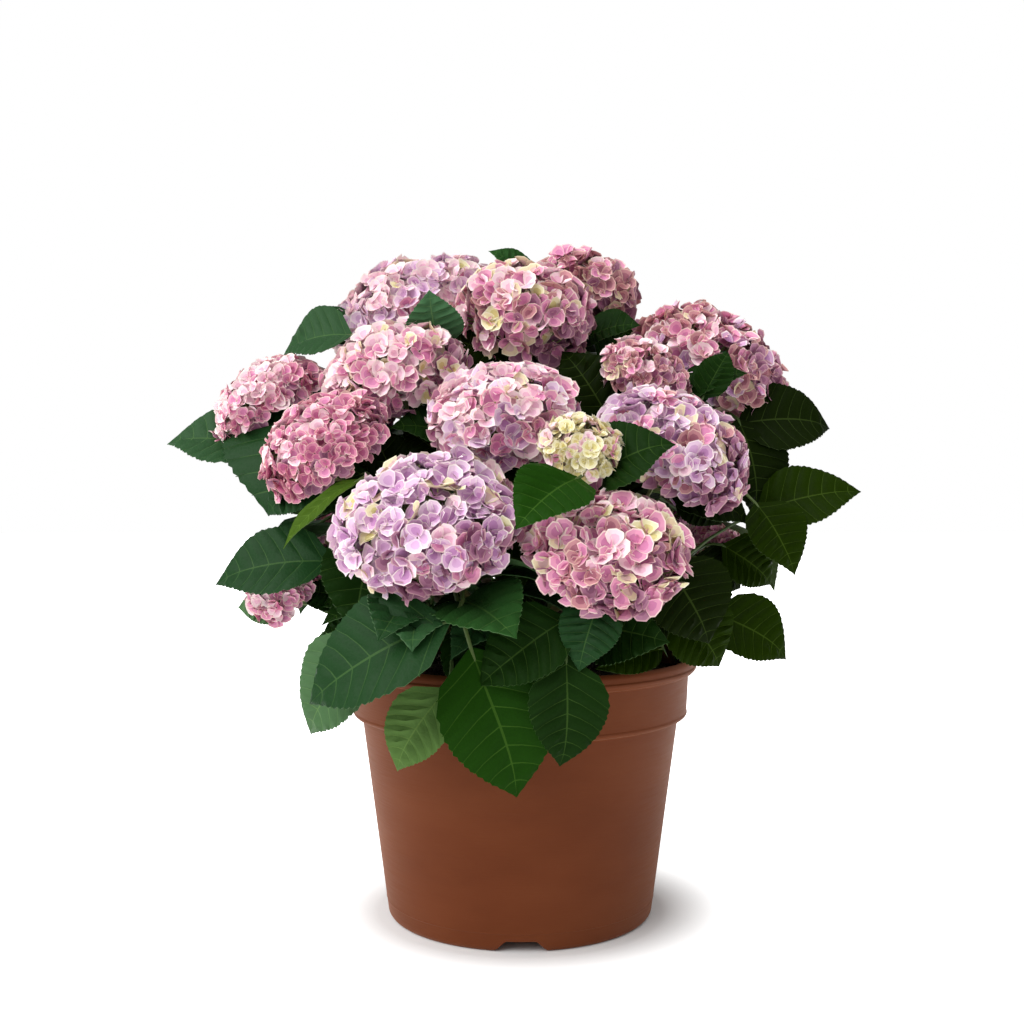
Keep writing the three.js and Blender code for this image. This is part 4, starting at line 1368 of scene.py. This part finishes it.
def petalTemplate():
    s = bloomSetup
    bm = bmesh.new()
    bmesh.ops.create_circle(bm, cap_ends=True, segments=s["petalSides"], radius=1)
    bm.faces.ensure_lookup_table()
    top = bm.faces[:]
    for inner in (s["rim"], s["heart"]):
        outer = min(math.hypot(v.co.x, v.co.y) for v in top[0].verts)
        bmesh.ops.inset_region(bm, faces=top, use_boundary=True,
                               thickness=(outer - inner) * math.cos(math.pi / s["petalSides"]))
    bmesh.ops.poke(bm, faces=top)
    bmesh.ops.recalc_face_normals(bm, faces=bm.faces)
    if bm.faces[:][0].normal.z < 0:
        bmesh.ops.reverse_faces(bm, faces=bm.faces)

    def zoneOf(face):
        reach = sum(math.hypot(v.co.x, v.co.y) for v in face.verts) / len(face.verts)
        return 0 if reach > s["rim"] else (1 if reach > s["heart"] else 2)

    shape = readTemplate(bm, zoneOf)
    reach = np.hypot(shape["corners"][:, 0], shape["corners"][:, 1])
    little = np.where(reach < 0.97, s["lower"] / 4, 0)
    shape["corners"][:, 1] -= np.where(reach < s["heart"] + 0.05, s["lower"], little)
    return shape


# Where a head's florets sit: centre, outward normal and a turn, all as arrays in mm.
def floretsOf(index, bloom):
    bearing, reach, height, width, _, size = bloom[1:]
    s = bloomSetup
    size = size * s["sizeShare"]
    stretch = np.array((1, 1, s["stretch"].get(index, 1)))
    centre, axis = polar(bearing, reach, height), bloomAxis(polar(bearing, reach, height))
    side = axis.cross(Vector((0.2, 1, 0.1))).normalized()
    across = axis.cross(side)
    lowest = s["deeper"].get(index, s["lowest"])
    shown = int(s["density"] * (width / size) ** 2 * (1 - lowest) / (1 - s["lowest"]))
    hidden = int(shown * s["filler"])
    count = shown + hidden
    k = np.arange(count) + index * 1000
    order = np.concatenate(((np.arange(shown) + 0.5) / shown, (np.arange(hidden) + 0.3) / hidden))
    z = 1 - (1 - lowest) * order
    turn = np.arange(count) * s["goldenTurn"] + index * 1.3
    spread = s["jitter"] * 2.2 / math.sqrt(count)
    z = np.clip(z + spread * (seededMany(k) - 0.5) * 2, lowest - 0.15, 0.995)
    flat = np.sqrt(1 - z * z)
    turn = turn + spread * (seededMany(k + 0.3) - 0.5) * 2 / np.maximum(flat, 0.2)
    lump = 1 + s["lumps"] * np.sin(turn * 3 + index) * np.sin(z * 5 + index * 2)
    lump = lump * np.where(np.arange(count) < shown, 1, s["fillerDepth"])
    inset = s["inset"] * min(size / s["fullSize"], 1)
    a = (width / 2 - inset) * lump
    above, below = plantSizes["bloomRise"] * s["flatten"] * width - inset, plantSizes["bloomDrop"] * width
    c = np.where(z > 0, above, below) * lump
    local = np.stack((a * flat * np.cos(turn), a * flat * np.sin(turn), c * z), axis=1)
    normal = np.stack((flat * np.cos(turn), flat * np.sin(turn), z * 1.15 + 0.1), axis=1)
    tilt = math.tan(math.radians(s["tilt"]))
    normal += tilt * (np.stack([seededMany(k + 0.1 * i) for i in (5, 6, 7)], axis=1) - 0.5) * 1.4
    normal /= np.linalg.norm(normal, axis=1, keepdims=True)
    depth = (seededMany(k + 0.8) - 0.6) * s["depthSpread"]
    local += normal * depth[:, None] * min(size / s["depthFullSize"], 1)
    basis = np.array([side[:], across[:], axis[:]])
    sizes = size * (s["sizes"][0] + s["sizes"][1] * seededMany(k + 0.9))
    normal = (normal @ basis) / stretch
    normal /= np.linalg.norm(normal, axis=1, keepdims=True)
    return (local @ basis) * stretch + np.array(centre[:]), normal, sizes, k


def petalsOf(template, centres, normals, sizes, k):
    s = bloomSetup
    helper = np.array([0.17, 0.31, 0.93])
    first = np.cross(normals, helper)
    first /= np.linalg.norm(first, axis=1, keepdims=True)
    second = np.cross(normals, first)
    x, y = template["corners"][:, 0], template["corners"][:, 1]
    v = (y + 1) / 2
    flattest, steepest = s["pitch"]
    out = []
    for i in range(4):
        j = k + i * 0.137
        angle = seededMany(k + 0.4) * math.tau + i * math.pi / 2 + 0.2 * (seededMany(j + 0.2) - 0.5)
        lift = 0.6 * seededMany(k + 0.6) + 0.4 * seededMany(j + 0.7)
        pitch = np.radians(flattest + (steepest - flattest) * lift)
        away = first * np.cos(angle)[:, None] + second * np.sin(angle)[:, None]
        cross = -first * np.sin(angle)[:, None] + second * np.cos(angle)[:, None]
        ahead = away * np.cos(pitch)[:, None] + normals * np.sin(pitch)[:, None]
        rise = normals * np.cos(pitch)[:, None] - away * np.sin(pitch)[:, None]
        length = (sizes / 2 * (0.92 + 0.16 * seededMany(j + 0.5)))[:, None]
        wide = length * s["petalWidth"] * (0.92 + 0.2 * seededMany(j + 0.3))[:, None] / 2
        px = x[None] * wide * (1 + s["fan"] * y[None])
        py = v[None] * length + 0.4
        cup = s["cup"] * (0.5 + 1.0 * seededMany(j + 0.9))[:, None]
        around = 3 * np.arctan2(y, x)[None] + 6.3 * seededMany(j + 0.15)[:, None]
        wave = s["wave"] * length * np.sin(around) * (x * x + y * y)[None]
        tip = s["tipRise"] * length * (v * v)[None] * (2 * seededMany(j + 0.55) - 0.4)[:, None]
        pz = cup * length * (x * x)[None] + tip + wave
        pz = pz + (0.5 if i % 2 else 0.0)
        place = centres[:, None] + ahead[:, None] * py[:, :, None]
        out.append(place + cross[:, None] * px[:, :, None] + rise[:, None] * pz[:, :, None])
    return np.stack(out, axis=1).reshape(-1, len(x), 3)


def pickFamilies(mix, k):
    names = list(bloomSetup["families"])
    shares = np.cumsum([share for _, share in bloomSetup["mixes"][mix]])
    order = np.array([names.index(name) for name, _ in bloomSetup["mixes"][mix]])
    return order[np.minimum(np.searchsorted(shares / shares[-1], seededMany(k + 0.77)), len(order) - 1)]


def petalMaterials():
    made = []
    for family, zones in bloomSetup["families"].items():
        for zone, colour in zip(("rim", "outer", "heart"), zones):
            relief = (fineGrain, 700.0, 0.25, 0.0004, (1, 1, 1), (0.5, 0.7))
            material, shader = reliefFinish(f"petal_{family}_{zone}", tone(*colour), 0.6, *relief)
            shader.inputs["Specular IOR Level"].default_value = 0.3
            made.append(material)
    for i, colour in enumerate(bloomSetup["bead"]):
        relief = (fineGrain, 900.0, 0.3, 0.0003)
        made.append(reliefFinish(f"floret_bead_{i}", tone(*colour), 0.5, *relief)[0])
    return made


# The family of each of a head's petals: its floret's own or a stray, then painted paler where the petal faces
# the sun side and darker where it faces away, as painted light and shade. Over half of the cream and
# green-tipped ones take the head's main family.
def petalFamilies(mix, normals, k):
    s = bloomSetup
    names = list(s["families"])
    single = np.repeat(k, 4) + np.tile((0.11, 0.23, 0.37, 0.53), len(k))
    family = np.repeat(pickFamilies(mix, k), 4)
    family = np.where(seededMany(single) < s["strays"], pickFamilies(mix, single + 0.019), family)
    lit = np.repeat(normals @ np.array(s["sunSide"]), 4) + (seededMany(single + 0.057) - 0.5) * 0.7
    for changes, there in ((s["paintedLit"], lit > s["litAbove"]), (s["shaded"], lit < s["dimBelow"])):
        for source, other in changes:
            family = np.where((family == names.index(source)) & there, names.index(other), family)
    accent = (family >= names.index("cream")) & (seededMany(single + 0.031) < 0.6) & (mix != "young")
    return np.where(accent, names.index(s["mixes"][mix][0][0]), family)


# The fine stalks in a head: rays from the hub, and from the nearest ray's end one to each floret.
def headStalks(bloom, centres, normals):
    s = bloomSetup
    centre = polar(*bloom[1:4])
    foot, axis = np.array(bloomFoot(centre, bloom[4])[:]), np.array(bloomAxis(centre)[:])
    hub, start = foot + axis * (plantSizes["peduncle"] * 0.8), foot - axis * 1.5
    stalks, ends = [], []
    for far in centres[::max(len(centres) // s["rays"], 1)]:
        ends.append(hub + (far - hub) * 0.55)
        ray = [start, start + (hub - start) * 0.5, hub, hub + (far - hub) * 0.3, ends[-1]]
        stalks.append((ray, s["rayRadii"]))
    ends = np.array(ends)
    nearest = np.argmin(np.linalg.norm(centres[:, None] - ends[None], axis=2), axis=1)
    for c, n, e in zip(centres, normals, nearest):
        begin = ends[e]
        stalks.append(([begin, begin + (c - begin) * 0.4, c - n * 3.5, c - n * 1.0, c], s["footRadii"]))
    return stalks


petalShape = petalTemplate()
beadMesh = bmesh.new()
bmesh.ops.create_uvsphere(beadMesh, u_segments=4, v_segments=2, radius=bloomSetup["beadRadius"])
beadShape = readTemplate(beadMesh, lambda f: 0)
petalFinish = petalMaterials()
beadSlot = len(bloomSetup["families"]) * 3
groups = {
    "blossom_front": ("front_left", "front_right"),
    "blossom_right": ("right_front", "right_back"),
    "blossom_back": ("back_right", "back"),
    "blossom_back_left": ("back_left", "left_back"),
    "blossom_left": ("left", "left_front"),
    "blossom_middle": ("middle",),
}
petalFaces, beadFaces = petalShape["faces"], beadShape["faces"]
rays = []
for group, owners in groups.items():
    petals, petalSlots, beads, beadSlots, nodes = [], [], [], [], []
    for index, bloom in enumerate(blooms):
        if bloom[0] not in owners:
            continue
        nodes.append(f"bloom_{bloom[0]}_{1 + sum(b[0] == bloom[0] for b in blooms[:index])}")
        centres, normals, sizes, k = floretsOf(index, bloom)
        petals.append(petalsOf(petalShape, centres, normals, sizes, k))
        petalSlots.append(petalFamilies(bloom[5], normals, k)[:, None] * 3 + petalShape["zones"][None])
        beadSizes = np.minimum(sizes / bloomSetup["fullSize"], 1)[:, None, None]
        beads.append(beadShape["corners"][None] * beadSizes + (centres + normals * 0.9)[:, None])
        ripe = (seededMany(k + 0.45) > 0.7).astype(int)
        beadSlots.append(np.repeat(beadSlot + ripe, len(beadFaces)))
        rays += headStalks(bloom, centres, normals)
    petals, beads = np.concatenate(petals), np.concatenate(beads)
    petalSlots = np.concatenate(petalSlots)
    batches = [(petals, petalFaces, petalSlots), (beads, beadFaces, np.concatenate(beadSlots))]
    piece = meshOfCopies(group, batches, petalFinish)
    settle(piece, "blossom", *nodes)
    print(group, "made:", len(petals) // 4, "florets,", len(piece.data.polygons), "faces")

rayMaterial = stalkMaterials("head_stalk", bloomSetup["stalkColours"], 0.55)
rayBatch = stalkBatch(stalkTemplate(3, 4), *zip(*rays), [0] * len(rays))
rayPiece = meshOfCopies("head_stalks", [rayBatch], rayMaterial)
settle(rayPiece, "leaves")
print("head stalks made:", len(rayPiece.data.polygons), "faces")

# The floor and the light.
stageSetup = {
    "floorSize": 12.0,
    "floorDrop": 0.0002,
    "floorColour": (0.92, 0.92, 0.92),
    # painted light: the floor glows more the further it lies from the pot, and for the camera alone still
    # more from just beyond the foot, washing out the cast shadow so only the shadow close round the foot
    # shows
    "floorGlow": (0.0, 0.4),
    "glowFrom": (0.12, 0.5),
    "seenGlow": (0.0, 0.7),
    "seenGlowFrom": (0.105, 0.152),
    "worldStrength": 0.5,
    "seenStrength": 1.0,
    "suns": {
        "key": ((45.0, 0.0, -56.0), 64.0, 2.5),
        "top": ((12.0, 0.0, -40.0), 80.0, 0.6),
    },
}


def makeStage():
    s = stageSetup
    bm = bmesh.new()
    bmesh.ops.create_grid(bm, x_segments=4, y_segments=4, size=s["floorSize"] / 2)
    floor = pieceFrom("floor", bm)
    floor.data.transform(Matrix.Translation((0, 0, -s["floorDrop"])))
    material, shader = newMaterial("studio_floor", s["floorColour"], 0.9)
    shader.inputs["Specular IOR Level"].default_value = 0.1
    # painted light: the floor's glow grows with the distance from the middle, with more of it for the
    # camera's own rays
    shader.inputs["Emission Color"].default_value = (1, 1, 1, 1)
    nodes = material.node_tree.nodes
    away, path = nodes.new("ShaderNodeVectorMath"), nodes.new("ShaderNodeLightPath")
    both = nodes.new("ShaderNodeMath")
    away.operation, both.operation = "LENGTH", "MULTIPLY_ADD"
    link(material, objectPlace(material), away.inputs[0])
    for socket, start, reach in ((0, "seenGlow", "seenGlowFrom"), (2, "floorGlow", "glowFrom")):
        level = nodes.new("ShaderNodeMapRange")
        level.inputs["From Min"].default_value, level.inputs["From Max"].default_value = s[reach]
        level.inputs["To Min"].default_value, level.inputs["To Max"].default_value = s[start]
        link(material, away.outputs["Value"], level.inputs["Value"])
        link(material, level.outputs["Result"], both.inputs[socket])
    link(material, path.outputs["Is Camera Ray"], both.inputs[1])
    link(material, both.outputs["Value"], shader.inputs["Emission Strength"])
    floor.data.materials.append(material)
    world = bpy.data.worlds.new("studio")
    world.use_nodes = True
    nodes, links = world.node_tree.nodes, world.node_tree.links
    path, level = nodes.new("ShaderNodeLightPath"), nodes.new("ShaderNodeMapRange")
    level.inputs["To Min"].default_value = s["worldStrength"]
    level.inputs["To Max"].default_value = s["seenStrength"]
    nodes["Background"].inputs["Color"].default_value = (1, 1, 1, 1)
    links.new(path.outputs["Is Camera Ray"], level.inputs["Value"])
    links.new(level.outputs["Result"], nodes["Background"].inputs["Strength"])
    scene.world = world
    for name, (turn, spread, strength) in s["suns"].items():
        lamp = bpy.data.lights.new(name, "SUN")
        lamp.angle, lamp.energy = math.radians(spread), strength
        sun = bpy.data.objects.new(name, lamp)
        sun.rotation_euler = [math.radians(a) for a in turn]
        scene.collection.objects.link(sun)


makeStage()
scene.view_settings.view_transform = "Standard"
print("stage made")
